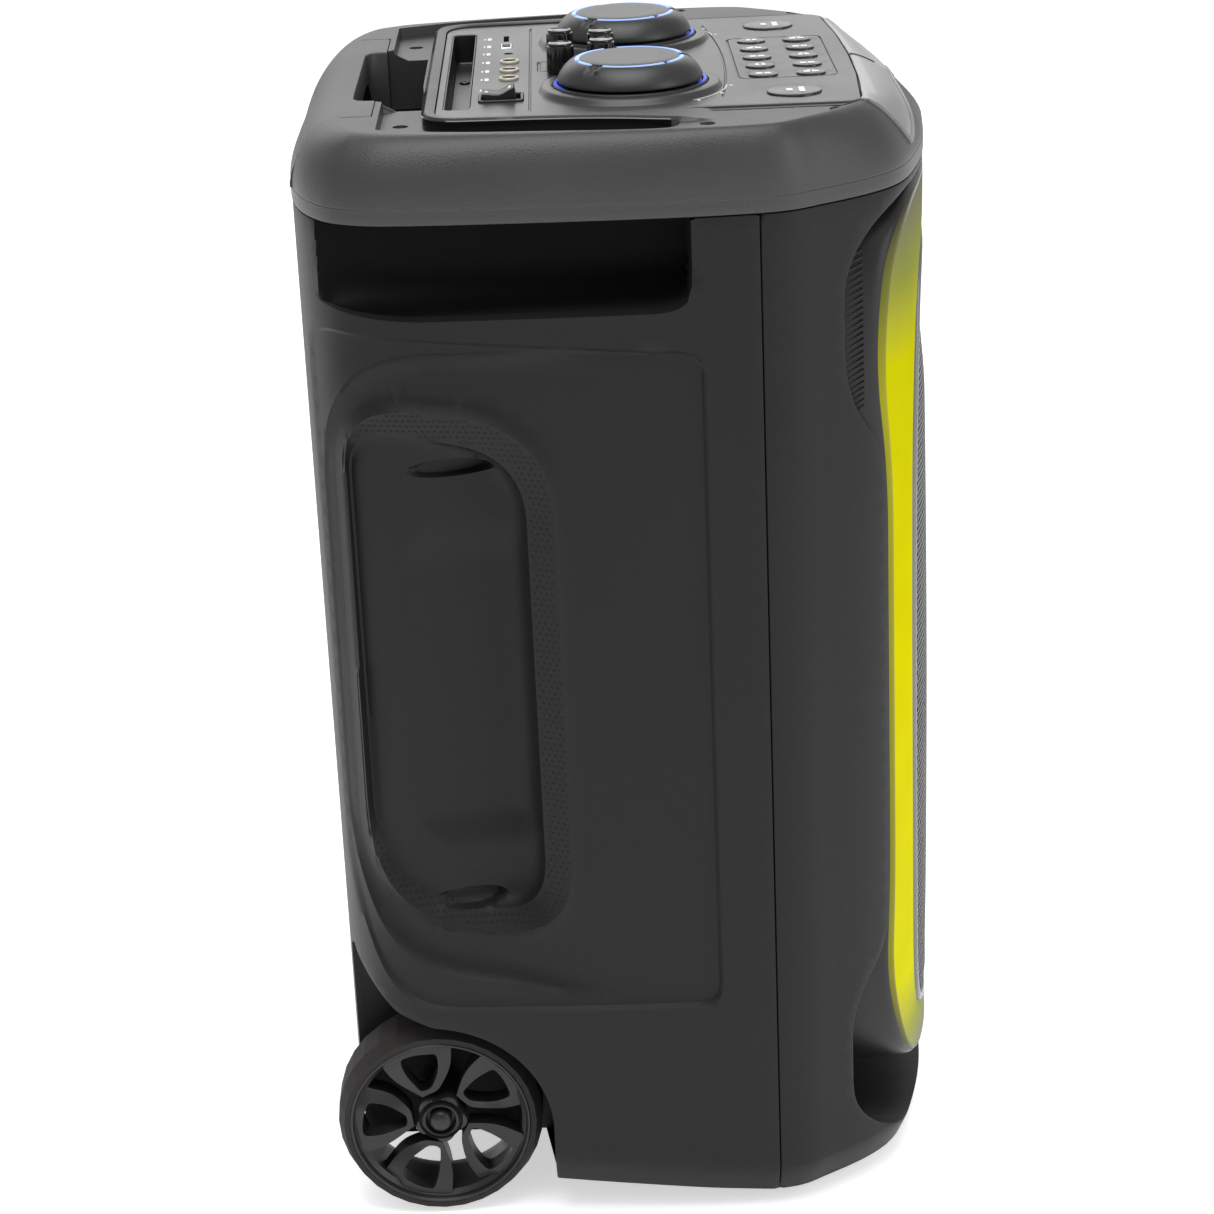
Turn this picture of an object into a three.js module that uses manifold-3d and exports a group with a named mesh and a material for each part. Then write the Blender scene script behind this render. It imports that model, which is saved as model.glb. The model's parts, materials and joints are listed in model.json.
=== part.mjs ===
// Party speaker on two wheels: moulded body, lit front ring, console of knobs and buttons, trolley handle.
// Millimetres, +Z up, front towards -Y, resting on its wheels and two front feet at z = 0.
import * as THREE from 'three';
import { mergeVertices } from 'three/addons/utils/BufferGeometryUtils.js';
import Module from 'manifold-3d';

const wasm = await Module();
wasm.setup();

// ---- driving dimensions ----
const FIT_GAP = 0.3;
const WALL = 4;
const FAR = 260;

const BODY_TOP = 631;
const CAP_BOTTOM = 631.4;
const DECK_Z = 678;
const RIM_Z = 680;
const LEDGE_Z = 671.5;
const PANEL_Z = 679;
const PANEL_THICK = 6;
const SEAM_Y = -80.25;
const FRONT_BOTTOM = 11;
const FLOOR_Z = 34;

const WHEEL = { y: 128.5, z: 63.4, radius: 63.4, lip: 55.8, inner: 140.5, outer: 184.5 };
const WELL_X = 134;
const KNOB_SEGMENTS = 32;
const AXLE_RADIUS = 5;

const GRIP_X = 121.7;
const GRIP_FRONT = 133;
const GRIP_BAR_FRONT = 146.2;
const GRIP_BOTTOM = 640.3;
const POCKET_X = 78.6;
const POCKET_FRONT = 106.4;
const TUBE = { x: 98, y: 160, inner: 8, middle: 11, sleeve: 14.5, wall: 2.4 };

const WOOFER = { radius: 98, hole: 88, zs: { lower: 198, upper: 408 } };
const BAFFLE_FRONT = -122;
const BAFFLE_THICK = 8;

const BIG_KNOB = { x: 75.6, y: -14.75, base: 42, top: 31.3, z0: 683.6, z1: 697.4 };
const PLINTH = { bottom: 52.5, top: 49.5, z: 682.5 };
const SMALL_KNOBS = [[-22, 25], [22, 25], [-15, 0.5], [15, 0.5]];
const BIG_BUTTON = { x: 105.5, y: -107.2, radius: 15.5 };
const SMALL_BUTTON = { radius: 8.5, pitch: 26.8, columns: [-93.2, -121.2] };
const ROCKER_PIVOT_Z = 678;
const ROCKER_TILT = 10;
const JACK_XS = [-34, -8.5, 19];
const PORT_Y = 56;
const ROCKER = { x: -91, y: 60, length: 26, width: 22, lip: 2 };

// Half of the body seen from above, from the middle of the back to the middle of the front.
const BODY_HALF = [
  [0, 183.5], [90, 183.5], [140, 176.5], [172, 162], [187, 143], [194, 115], [199, 50], [201.5, -10],
  [201.5, -50], [197.5, -92], [184, -116.5], [164, -144], [142, -162.5], [110, -174.5], [60, -185.5], [0, -191.8],
];

// Corners below are [u, v] or [u, v, reach]. A corner with a reach is rounded from that far away.

// Wheel arch on the side of the body: an arc about the wheel, then a slope up to the back.
const ARCH = { radius: 70, topY: 150, topZ: 141, backY: 205, backZ: 190 };

// Closed outline on the side of the body, as (y, z).
const SIDE_POCKET = [[56, 202, 40], [154, 224, 50], [157, 512, 30], [57, 494, 35]];

// Half outlines on the front of the body, as (x, z), from the bottom middle to the top middle.
const MOUTH_HALF = [
  [0, 20], [176, 21, 66], [176, 130, 25], [154, 165, 25],
  [154, 475, 25], [176, 515, 30], [176, 626, 55], [0, 627],
];
const RING_OUTER_HALF = [
  [0, 50], [128, 58, 45], [156, 120, 45], [152, 200, 30],
  [152, 460, 30], [161, 540, 40], [149, 619, 50], [0, 625],
];
const RING_INNER_HALF = [
  [0, 70], [105, 72, 62], [106, 380, 60], [98, 490, 60], [72, 576, 45], [0, 580],
];

// Half outlines on the top, as (x, y), from the back middle to the front middle.
const PANEL_HALF = [[0, 97], [144, 97, 20], [147, 20], [139, -44, 20], [141, -142, 12], [60, -147], [0, -148]];
const RIM_HALF = [[0, 104], [149, 104, 22], [153, 40], [157, 3, 20], [172, -45], [172, -60], [0, -60]];
const LEDGE_HALF = [
  [60, 60], [60, 129], [158, 129], [173, 90, 30], [186, -10, 20], [186, -39, 12], [150, -39], [150, 60],
];
const TRIM_HALF = [
  [0, -148.6], [60, -147.6], [138, -142.6], [134, -162, 15], [112, -176], [70, -178, 30], [0, -173],
];

// Rounding over the cap's top edge: where it leaves the wall, where it meets the deck, and how square it is.
const ROUNDING = {
  rear: { wall: 184, wallZ: 638, deck: 153, power: 1.75 },
  front: { wall: -194, wallZ: 640, deck: -148, power: 1.4 },
  side: { wall: 203, wallZ: 641, deck: 184, power: 2 },
};

// ---- materials ----
function material(color, roughness, metalness, emissive = 0x000000) {
  return new THREE.MeshStandardMaterial({ color, roughness, metalness, emissive });
}
const MATERIALS = {
  shell: () => material(0x242526, 0.62, 0),
  gloss: () => material(0x0b0b0c, 0.15, 0),
  satin: () => material(0x141415, 0.4, 0),
  lens: () => material(0xe6f000, 0.25, 0, 0xb0b800),
  blue: () => material(0x1d5cff, 0.3, 0, 0x1d5cff),
  grille: () => material(0x1b1c1d, 0.5, 0.8),
  bezel: () => material(0x8c8e90, 0.3, 0.3),
  cone: () => material(0x17181a, 0.75, 0),
  steel: () => material(0xb4b6b8, 0.3, 1),
  rubber: () => material(0x1c1a19, 0.9, 0),
  board: () => material(0x1f5a35, 0.6, 0),
  cream: () => material(0xd8ceb0, 0.45, 0),
};

// ---- solids ----
function toManifold(geometry) {
  const clean = geometry.index ? geometry.toNonIndexed() : geometry;
  clean.deleteAttribute('normal');
  clean.deleteAttribute('uv');
  const merged = mergeVertices(clean, 1e-4);
  const mesh = new wasm.Mesh({
    numProp: 3,
    vertProperties: new Float32Array(merged.attributes.position.array),
    triVerts: new Uint32Array(merged.index.array),
  });
  return new wasm.Manifold(mesh);
}

function box([x0, x1], [y0, y1], [z0, z1]) {
  const geometry = new THREE.BoxGeometry(x1 - x0, y1 - y0, z1 - z0);
  geometry.translate((x0 + x1) / 2, (y0 + y1) / 2, (z0 + z1) / 2);
  return toManifold(geometry);
}

function pointsToShape(points) {
  return new THREE.Shape(points.map(([u, v]) => new THREE.Vector2(u, v)));
}

// Prism of an (x, y) outline along z.
function prismZ(points, z0, z1) {
  const geometry = new THREE.ExtrudeGeometry(pointsToShape(points), { depth: z1 - z0, bevelEnabled: false });
  geometry.translate(0, 0, z0);
  return toManifold(geometry);
}

// Prism of a (y, z) outline along x.
function prismX(points, x0, x1) {
  const geometry = new THREE.ExtrudeGeometry(pointsToShape(points), { depth: x1 - x0, bevelEnabled: false });
  const turn = new THREE.Matrix4().set(0, 0, 1, x0, 1, 0, 0, 0, 0, 1, 0, 0, 0, 0, 0, 1);
  geometry.applyMatrix4(turn);
  return toManifold(geometry);
}

// Prism of an (x, z) outline along y; its depth runs from y1 back to y0.
function prismY(points, y0, y1) {
  const geometry = new THREE.ExtrudeGeometry(pointsToShape(points), { depth: y1 - y0, bevelEnabled: false });
  geometry.rotateX(Math.PI / 2);
  geometry.translate(0, y1, 0);
  return toManifold(geometry);
}

// Turned solid about a vertical line; the profile is (radius, z), starting and ending on the axis or closed.
function latheZ(profile, x, y, segments = 16) {
  const geometry = new THREE.LatheGeometry(profile.map(([r, z]) => new THREE.Vector2(r, z)), segments);
  geometry.rotateX(Math.PI / 2);
  geometry.translate(x, y, 0);
  return toManifold(geometry);
}

// Turned solid about a line along x; the profile is (radius, x).
function latheX(profile, y, z, segments = 32) {
  const geometry = new THREE.LatheGeometry(profile.map(([r, x]) => new THREE.Vector2(r, x)), segments);
  geometry.rotateZ(-Math.PI / 2);
  geometry.translate(0, y, z);
  return toManifold(geometry);
}

// Turned solid about a line along y; the profile is (radius, y).
function latheY(profile, x, z, segments = 24) {
  const geometry = new THREE.LatheGeometry(profile.map(([r, y]) => new THREE.Vector2(r, y)), segments);
  geometry.translate(x, 0, z);
  return toManifold(geometry);
}

function discZ(radius, z0, z1, x, y, segments = 16) {
  return latheZ([[0, z0], [radius, z0], [radius, z1], [0, z1]], x, y, segments);
}

function tubeZ(inner, outer, z0, z1, x, y, segments = 16) {
  return latheZ([[inner, z0], [outer, z0], [outer, z1], [inner, z1], [inner, z0]], x, y, segments);
}

function bothSides(solid) {
  return solid.add(solid.mirror([1, 0, 0]));
}

// ---- outlines ----
const CORNER_STEPS = 4;
const ARC_STEPS = 6;
const ROUNDING_STEPS = 6;

// Replaces each corner that has a reach by a curve between the points that far along its two sides.
function rounded(corners) {
  const count = corners.length;
  return corners.flatMap(([u, v, reach], i) => {
    if (!reach) {
      return [[u, v]];
    }
    const corner = new THREE.Vector2(u, v);
    const [start, end] = [corners[(i + count - 1) % count], corners[(i + 1) % count]].map(([a, b]) => {
      const along = new THREE.Vector2(a, b).sub(corner);
      return along.setLength(Math.min(reach, 0.49 * along.length())).add(corner);
    });
    return new THREE.QuadraticBezierCurve(start, corner, end).getPoints(CORNER_STEPS).map((p) => [p.x, p.y]);
  });
}

function wheelArch() {
  const { radius, topY, topZ, backY, backZ } = ARCH;
  const curve = new THREE.EllipseCurve(WHEEL.y, WHEEL.z, radius, radius, Math.PI, Math.PI / 2, true);
  const arc = curve.getPoints(ARC_STEPS).map((p) => [p.x, p.y]);
  return [[WHEEL.y - radius, -20], ...arc, [topY, topZ], [backY, backZ], [backY, -20]];
}

// Points of one rounding, from the wall up to the deck.
function roundingPoints({ wall, wallZ, deck, power }) {
  return Array.from({ length: ROUNDING_STEPS + 1 }, (_, k) => {
    const angle = (k / ROUNDING_STEPS) * (Math.PI / 2);
    const inwards = 1 - Math.max(0, Math.cos(angle)) ** (2 / power);
    const upwards = Math.sin(angle) ** (2 / power);
    return [wall + (deck - wall) * inwards, wallZ + (DECK_Z - wallZ) * upwards];
  });
}

function mirrorHalf(half) {
  const left = half.filter(([x]) => x > 0).map(([x, v]) => [-x, v]).reverse();
  return [...half, ...left];
}

function roundedHalf(corners) {
  return mirrorHalf(rounded(corners));
}

// Grows a closed outline outwards by a distance (inwards when negative).
function offsetOutline(points, distance) {
  const area = THREE.ShapeUtils.area(points.map(([x, y]) => new THREE.Vector2(x, y)));
  const side = Math.sign(area);
  return points.map(([x, y], i) => {
    const before = points[(i + points.length - 1) % points.length];
    const after = points[(i + 1) % points.length];
    const into = new THREE.Vector2(x - before[0], y - before[1]).normalize();
    const out = new THREE.Vector2(after[0] - x, after[1] - y).normalize();
    const normal = new THREE.Vector2(into.y + out.y, -into.x - out.x).normalize();
    const reach = (side * distance) / Math.max(0.5, normal.dot(new THREE.Vector2(into.y, -into.x)));
    return [x + normal.x * reach, y + normal.y * reach];
  });
}

const BODY_SAMPLES = 26;
const bodyCurve = new THREE.SplineCurve(BODY_HALF.map(([x, y]) => new THREE.Vector2(x, y)));
const bodyHalf = bodyCurve.getSpacedPoints(BODY_SAMPLES).map((p) => [Math.max(0, p.x), p.y]);
const BODY_OUTLINE = mirrorHalf(bodyHalf);

function bodyPrism(grow, z0, z1) {
  return prismZ(offsetOutline(BODY_OUTLINE, grow), z0, z1);
}

// ---- body shells ----
function wheelWell(grow) {
  return bothSides(prismX(offsetOutline(wheelArch(), grow), WELL_X - grow, FAR));
}

function gripRecess(grow) {
  return bothSides(box([165 - grow, FAR], [-42 - grow, 200], [578 - grow, 700]));
}

function sidePocket(grow) {
  return bothSides(prismX(offsetOutline(rounded(SIDE_POCKET), grow), 168 - grow, FAR));
}

function rearShell() {
  const rearHalf = box([-FAR, FAR], [SEAM_Y + FIT_GAP / 2, FAR], [-10, BODY_TOP]);
  const slope = prismX([[-90, -20], [-90, 10], [SEAM_Y, FRONT_BOTTOM], [56.5, 26], [FAR, 30], [FAR, -20]], -FAR, FAR);
  const outer = bodyPrism(0, -10, BODY_TOP).intersect(rearHalf).subtract(slope);
  const keepOut = wheelWell(WALL).add(gripRecess(WALL)).add(sidePocket(WALL));
  const cavity = bodyPrism(-WALL, FLOOR_Z, BODY_TOP + 20).subtract(keepOut);
  const axleHole = latheX([[0, -FAR], [AXLE_RADIUS + FIT_GAP, -FAR], [AXLE_RADIUS + FIT_GAP, FAR], [0, FAR]],
    WHEEL.y, WHEEL.z, 20);
  const inletHole = box([-14.3, 14.3], [160, 200], [107.7, 132.3]);
  return outer.subtract(cavity).subtract(wheelWell(0)).subtract(gripRecess(0)).subtract(sidePocket(0))
    .subtract(axleHole).subtract(inletHole);
}

function frontShell() {
  const frontHalf = box([-FAR, FAR], [-FAR, SEAM_Y - FIT_GAP / 2], [FRONT_BOTTOM, BODY_TOP]);
  const outer = bodyPrism(0, FRONT_BOTTOM, BODY_TOP).intersect(frontHalf);
  const cavity = bodyPrism(-WALL, FRONT_BOTTOM + WALL, BODY_TOP - WALL);
  const mouth = prismY(roundedHalf(MOUTH_HALF), -FAR, -100);
  return outer.subtract(cavity).subtract(mouth);
}

// ---- front ring, grille and woofers ----
function frontSkin(outerGrow, innerGrow) {
  return bodyPrism(outerGrow, 0, BODY_TOP).subtract(bodyPrism(innerGrow, -5, BODY_TOP + 5))
    .intersect(box([-FAR, FAR], [-FAR, -100], [-20, 700]));
}

function ringColumn(grow) {
  return prismY(offsetOutline(roundedHalf(RING_OUTER_HALF), grow), -FAR, BAFFLE_FRONT - FIT_GAP);
}

function ringBore(grow) {
  return prismY(offsetOutline(roundedHalf(RING_INNER_HALF), grow), -FAR, 0);
}

function ringHousing() {
  const front = bodyPrism(-7, 0, BODY_TOP);
  const channel = ringColumn(-3.5).subtract(ringBore(3.5))
    .intersect(box([-FAR, FAR], [-FAR, BAFFLE_FRONT - 8], [0, 700]));
  return ringColumn(0).subtract(ringBore(0)).intersect(front).subtract(channel);
}

function ringLens() {
  return frontSkin(0, -6.6).intersect(ringColumn(-0.5)).subtract(ringBore(0.4));
}

function grilleBezel() {
  return frontSkin(1.5, -9).intersect(ringBore(0)).subtract(ringBore(-5))
    .intersect(box([-FAR, FAR], [-FAR, BAFFLE_FRONT - FIT_GAP], [0, 700]));
}

function frontGrille() {
  const bow = { radius: 290, y: 97.5, thick: 2.2 };
  const sheet = tubeZ(bow.radius - bow.thick, bow.radius, 60, 600, 0, bow.y, 120);
  return sheet.intersect(ringBore(-5.4)).intersect(box([-FAR, FAR], [-FAR, -100], [0, 700]));
}

function baffle() {
  const plate = box([-174.5, 174.5], [BAFFLE_FRONT, BAFFLE_FRONT + BAFFLE_THICK], [16, 626]);
  const holes = Object.values(WOOFER.zs).map((z) => latheY(
    [[0, -FAR], [WOOFER.hole, -FAR], [WOOFER.hole, 0], [0, 0]], 0, z));
  return plate.subtract(holes[0]).subtract(holes[1]);
}

function wooferBasket(z) {
  const front = BAFFLE_FRONT - FIT_GAP;
  return latheY([
    [84, front - 6], [WOOFER.radius, front - 6], [WOOFER.radius, front], [87.5, front], [87.5, front + 14],
    [58, front + 48], [58, front + 80], [0, front + 80], [0, front + 54], [40, front + 54], [40, front + 44],
    [84, front + 8], [84, front - 6],
  ], 0, z);
}

function wooferCone(z) {
  const front = BAFFLE_FRONT - FIT_GAP;
  return latheY([
    [0, front + 30], [22, front + 34], [30, front + 38], [72, front - 1], [78, front - 5], [83, front - 1],
    [81, front], [73, front + 2.5], [32, front + 42], [22, front + 40], [0, front + 36],
  ], 0, z);
}

// ---- cap, console and handle ----
function capBlank() {
  const { rear, front, side } = ROUNDING;
  const sideView = [[front.wall, CAP_BOTTOM], ...roundingPoints(front), ...roundingPoints(rear).reverse(),
    [rear.wall, CAP_BOTTOM]];
  const frontHalf = [[0, CAP_BOTTOM], [side.wall, CAP_BOTTOM], ...roundingPoints(side), [0, DECK_Z]];
  return bodyPrism(0.4, CAP_BOTTOM, DECK_Z)
    .intersect(prismX(sideView, -FAR, FAR))
    .intersect(prismY(mirrorHalf(frontHalf), -FAR, FAR));
}

function trimZone(grow) {
  return prismZ(offsetOutline(roundedHalf(TRIM_HALF), grow), 640, 700);
}

function topCap() {
  const blank = capBlank();
  const rim = prismZ(roundedHalf(RIM_HALF), 660, RIM_Z);
  const ledge = bothSides(prismZ(rounded(LEDGE_HALF), LEDGE_Z, 700));
  const hollow = bodyPrism(-42, 600, 664).intersect(box([-FAR, FAR], [-FAR, 101], [500, 700]));
  const gripSeat = box([-122, 122], [GRIP_FRONT - FIT_GAP, FAR], [640, 700]);
  const fingerPocket = box([-POCKET_X, POCKET_X], [POCKET_FRONT, 140], [640, 700]);
  const opening = prismZ(offsetOutline(roundedHalf(PANEL_HALF), FIT_GAP), 600, 700);
  const bores = bothSides(discZ(TUBE.middle + FIT_GAP, 600, 700, TUBE.x, TUBE.y));
  const trimSeat = trimZone(FIT_GAP).subtract(blank.translate([0, 3, -3]));
  return blank.subtract(ledge).add(rim).subtract(opening).subtract(hollow).subtract(gripSeat)
    .subtract(fingerPocket).subtract(bores).subtract(trimSeat);
}

function frontTrim() {
  const blank = capBlank();
  return blank.intersect(trimZone(0)).subtract(blank.translate([0, 2.7, -2.7]));
}

function consolePanel() {
  const plate = prismZ(roundedHalf(PANEL_HALF), PANEL_Z - PANEL_THICK, PANEL_Z);
  const plinths = bothSides(latheZ([[0, PANEL_Z - 3], [PLINTH.bottom, PANEL_Z - 3], [PLINTH.bottom, PANEL_Z + 1],
    [PLINTH.top, PLINTH.z], [0, PLINTH.z]], BIG_KNOB.x, BIG_KNOB.y, KNOB_SEGMENTS));
  const tray = box([-122, 122], [74, 96.7], [657, PANEL_Z - 1]);
  const slot = box([-118, 118], [77.5, 93], [660, 700]);
  let panel = plate.add(plinths).add(tray).subtract(slot);
  for (const [x, y, radius] of buttonPlaces()) {
    panel = panel.subtract(discZ(radius + FIT_GAP, 640, 700, x, y));
  }
  for (const x of JACK_XS) {
    panel = panel.subtract(discZ(5.8 + FIT_GAP, 640, 700, x, PORT_Y));
  }
  const usbHole = box([64.7, 79.3], [54.7, 62.3], [640, 700]);
  const ringSeats = bothSides(tubeZ(41.7, 45.3, PLINTH.z - 1.2, 700, BIG_KNOB.x, BIG_KNOB.y, KNOB_SEGMENTS));
  return panel.subtract(rockerBlock(FIT_GAP, [640, 700])).subtract(usbHole).subtract(ringSeats);
}

function rockerBlock(grow, [z0, z1]) {
  const halfX = ROCKER.width / 2 + grow;
  const halfY = ROCKER.length / 2 + grow;
  return box([ROCKER.x - halfX, ROCKER.x + halfX], [ROCKER.y - halfY, ROCKER.y + halfY], [z0, z1]);
}

function buttonPlaces() {
  const places = [[-BIG_BUTTON.x, BIG_BUTTON.y, BIG_BUTTON.radius], [BIG_BUTTON.x, BIG_BUTTON.y, BIG_BUTTON.radius]];
  for (const y of SMALL_BUTTON.columns) {
    for (let row = -2; row <= 2; row += 1) {
      places.push([row * SMALL_BUTTON.pitch, y, SMALL_BUTTON.radius]);
    }
  }
  return places;
}

function handleGrip() {
  const seat = box([-GRIP_X, GRIP_X], [GRIP_FRONT, FAR], [GRIP_BOTTOM, 700]);
  const opening = box([-71, 71], [100, GRIP_BAR_FRONT], [600, 700]);
  const fingers = box([-71, 71], [140, 172], [600, 660]);
  const sockets = bothSides(discZ(TUBE.inner + FIT_GAP, 600, 665, TUBE.x, TUBE.y));
  return capBlank().intersect(seat).subtract(opening).subtract(fingers).subtract(sockets);
}

// ---- wheels ----
function tyre() {
  const { radius, lip, inner, outer } = WHEEL;
  return latheX([
    [lip + FIT_GAP, inner], [radius - 4, inner], [radius, inner + 10], [radius, outer - 10],
    [radius - 4, outer], [lip + FIT_GAP, outer], [lip + FIT_GAP, inner],
  ], WHEEL.y, WHEEL.z);
}

function wheelRim() {
  const { lip, inner, outer, y, z } = WHEEL;
  const bore = AXLE_RADIUS + FIT_GAP;
  const barrel = latheX([[lip - 6, inner], [lip, inner], [lip, outer], [lip - 3, outer], [lip - 6, outer - 6],
    [lip - 6, inner]], y, z);
  const hub = latheX([[bore, inner], [15, inner], [15, outer - 9], [10.5, outer - 4], [10.5, outer - 8],
    [bore, outer - 8], [bore, inner]], y, z, 16);
  let rim = barrel.add(hub);
  for (let k = 0; k < 5; k += 1) {
    const spoke = box([outer - 16, outer - 8], [-7, 7], [12, lip - 4]);
    rim = rim.add(spoke.rotate([k * 72, 0, 0]).translate([0, y, z]));
  }
  return rim;
}

function wheelBolt() {
  const { outer, y, z } = WHEEL;
  return latheX([[0, outer - 7.6], [9.5, outer - 7.6], [9.5, outer - 3], [7, outer - 0.6], [0, outer]], y, z, 16);
}

// ---- assembly ----
const model = new THREE.Group();
model.name = 'party_speaker';

function put(name, solid, look) {
  const result = solid.getMesh();
  const geometry = new THREE.BufferGeometry();
  geometry.setAttribute('position', new THREE.BufferAttribute(new Float32Array(result.vertProperties), 3));
  geometry.setIndex(new THREE.BufferAttribute(new Uint32Array(result.triVerts), 1));
  geometry.computeVertexNormals();
  const mesh = new THREE.Mesh(geometry, MATERIALS[look]());
  mesh.name = name;
  model.add(mesh);
}

function putPair(name, solid, look) {
  put(`${name}_left`, solid, look);
  put(`${name}_right`, solid.mirror([1, 0, 0]), look);
}

put('rear_shell', rearShell(), 'shell');
put('front_shell', frontShell(), 'shell');
put('top_cap', topCap(), 'shell');
put('console_panel', consolePanel(), 'satin');
put('front_trim', frontTrim(), 'gloss');
put('baffle', baffle(), 'satin');
put('ring_housing', ringHousing(), 'shell');
put('ring_lens', ringLens(), 'lens');
put('grille_bezel', grilleBezel(), 'bezel');
put('front_grille', frontGrille(), 'grille');
for (const [place, z] of Object.entries(WOOFER.zs)) {
  put(`woofer_basket_${place}`, wooferBasket(z), 'satin');
  put(`woofer_cone_${place}`, wooferCone(z), 'cone');
}

// Electronics inside the body.
const board = box([-110, 110], [-60, 50], [600, 602]);
const heatSink = box([-90, 90], [-50, -20], [602, 622]);
put('amplifier_board', board.add(heatSink), 'board');
put('battery_pack', box([-80, 80], [20, 100], [FLOOR_Z + FIT_GAP, 104]), 'satin');

// Wheels. Facing the grille, "left" is at negative x.
putPair('tyre', tyre().mirror([1, 0, 0]), 'rubber');
putPair('wheel_rim', wheelRim().mirror([1, 0, 0]), 'satin');
putPair('wheel_bolt', wheelBolt().mirror([1, 0, 0]), 'satin');
const axleEnd = WHEEL.outer - 8;
put('wheel_axle', latheX([[0, -axleEnd], [AXLE_RADIUS, -axleEnd], [AXLE_RADIUS, axleEnd], [0, axleEnd]],
  WHEEL.y, WHEEL.z, 20), 'steel');
putPair('foot', latheZ([[0, 0], [15, 0], [17, 2], [17, FRONT_BOTTOM - FIT_GAP], [0, FRONT_BOTTOM - FIT_GAP]],
  -125, -110), 'rubber');

// Trolley handle: grip, inner tubes, middle tubes and the fixed sleeves.
put('handle_grip', handleGrip(), 'shell');
putPair('handle_tube_inner', tubeZ(TUBE.inner - TUBE.wall, TUBE.inner, 62, 664.6, -TUBE.x, TUBE.y), 'steel');
putPair('handle_tube_middle', tubeZ(TUBE.inner + 0.4, TUBE.middle, 52, 637, -TUBE.x, TUBE.y), 'steel');
putPair('handle_sleeve', tubeZ(TUBE.middle + 0.4, TUBE.sleeve, 40, CAP_BOTTOM - 0.4, -TUBE.x, TUBE.y), 'satin');

// Controls and sockets on the console.
putPair('volume_knob', latheZ([[0, BIG_KNOB.z0], [BIG_KNOB.base - 1.2, BIG_KNOB.z0], [BIG_KNOB.base, 685],
  [40, 690], [36.4, 694.6], [BIG_KNOB.top, BIG_KNOB.z1], [0, BIG_KNOB.z1]],
-BIG_KNOB.x, BIG_KNOB.y, KNOB_SEGMENTS), 'satin');
putPair('knob_light', tubeZ(42, 45, PLINTH.z - 0.9, PLINTH.z + 0.6, -BIG_KNOB.x, BIG_KNOB.y, KNOB_SEGMENTS), 'blue');
SMALL_KNOBS.forEach(([x, y], i) => {
  put(`level_knob_${i + 1}`, latheZ([[0, PANEL_Z + 0.4], [8.2, PANEL_Z + 0.4], [7.9, 696], [6.9, 697],
    [0, 697]], x, y), 'gloss');
});
buttonPlaces().forEach(([x, y, radius], i) => {
  const name = i < 2 ? `mode_button_${i + 1}` : `button_${i - 1}`;
  put(name, latheZ([[0, 671], [radius, 671], [radius, PANEL_Z + 1], [radius - 1.2, PANEL_Z + 1.8],
    [0, PANEL_Z + 2.2]], x, y), 'satin');
});
JACK_XS.forEach((x, i) => {
  put(`jack_${i + 1}`, latheZ([[3.2, 650], [5.8, 650], [5.8, PANEL_Z + 1], [4.8, PANEL_Z + 1.6], [3.2, PANEL_Z + 1],
    [3.2, 650]], x, PORT_Y), 'cream');
});
put('usb_port', box([65, 79], [55, 62], [662, PANEL_Z]).subtract(box([66, 78], [56, 61], [664, 700])), 'steel');

put('rocker_frame', rockerBlock(0, [658, PANEL_Z + 1]).subtract(rockerBlock(-ROCKER.lip, [661, 700])), 'satin');
const paddleHalf = ROCKER.width / 2 - ROCKER.lip - 0.4;
const paddleOutline = [[9.2, -3], [4, -7], [-4, -7], [-9.2, -3], [-9.2, 7], [0, 4], [9.2, 7]];
put('rocker_paddle', prismX(paddleOutline, -paddleHalf, paddleHalf).rotate([-ROCKER_TILT, 0, 0])
  .translate([ROCKER.x, ROCKER.y, ROCKER_PIVOT_Z]), 'gloss');

const inletBody = box([-14, 14], [162, 184.3], [108, 132]);
const inletWell = box([-11, 11], [170, 200], [112, 128]);
const inletPins = box([-6, -4], [169, 181], [118, 122]).add(box([4, 6], [169, 181], [118, 122]));
put('power_inlet', inletBody.subtract(inletWell).add(inletPins), 'satin');

export default model;
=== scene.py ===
# Looks of the party speaker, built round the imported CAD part. Lengths are in millimetres until mesh_piece().
import json
import math

import bmesh
import bpy
import numpy as np
from mathutils import Matrix, Vector
from mathutils.geometry import delaunay_2d_cdt
from mathutils.kdtree import KDTree

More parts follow.
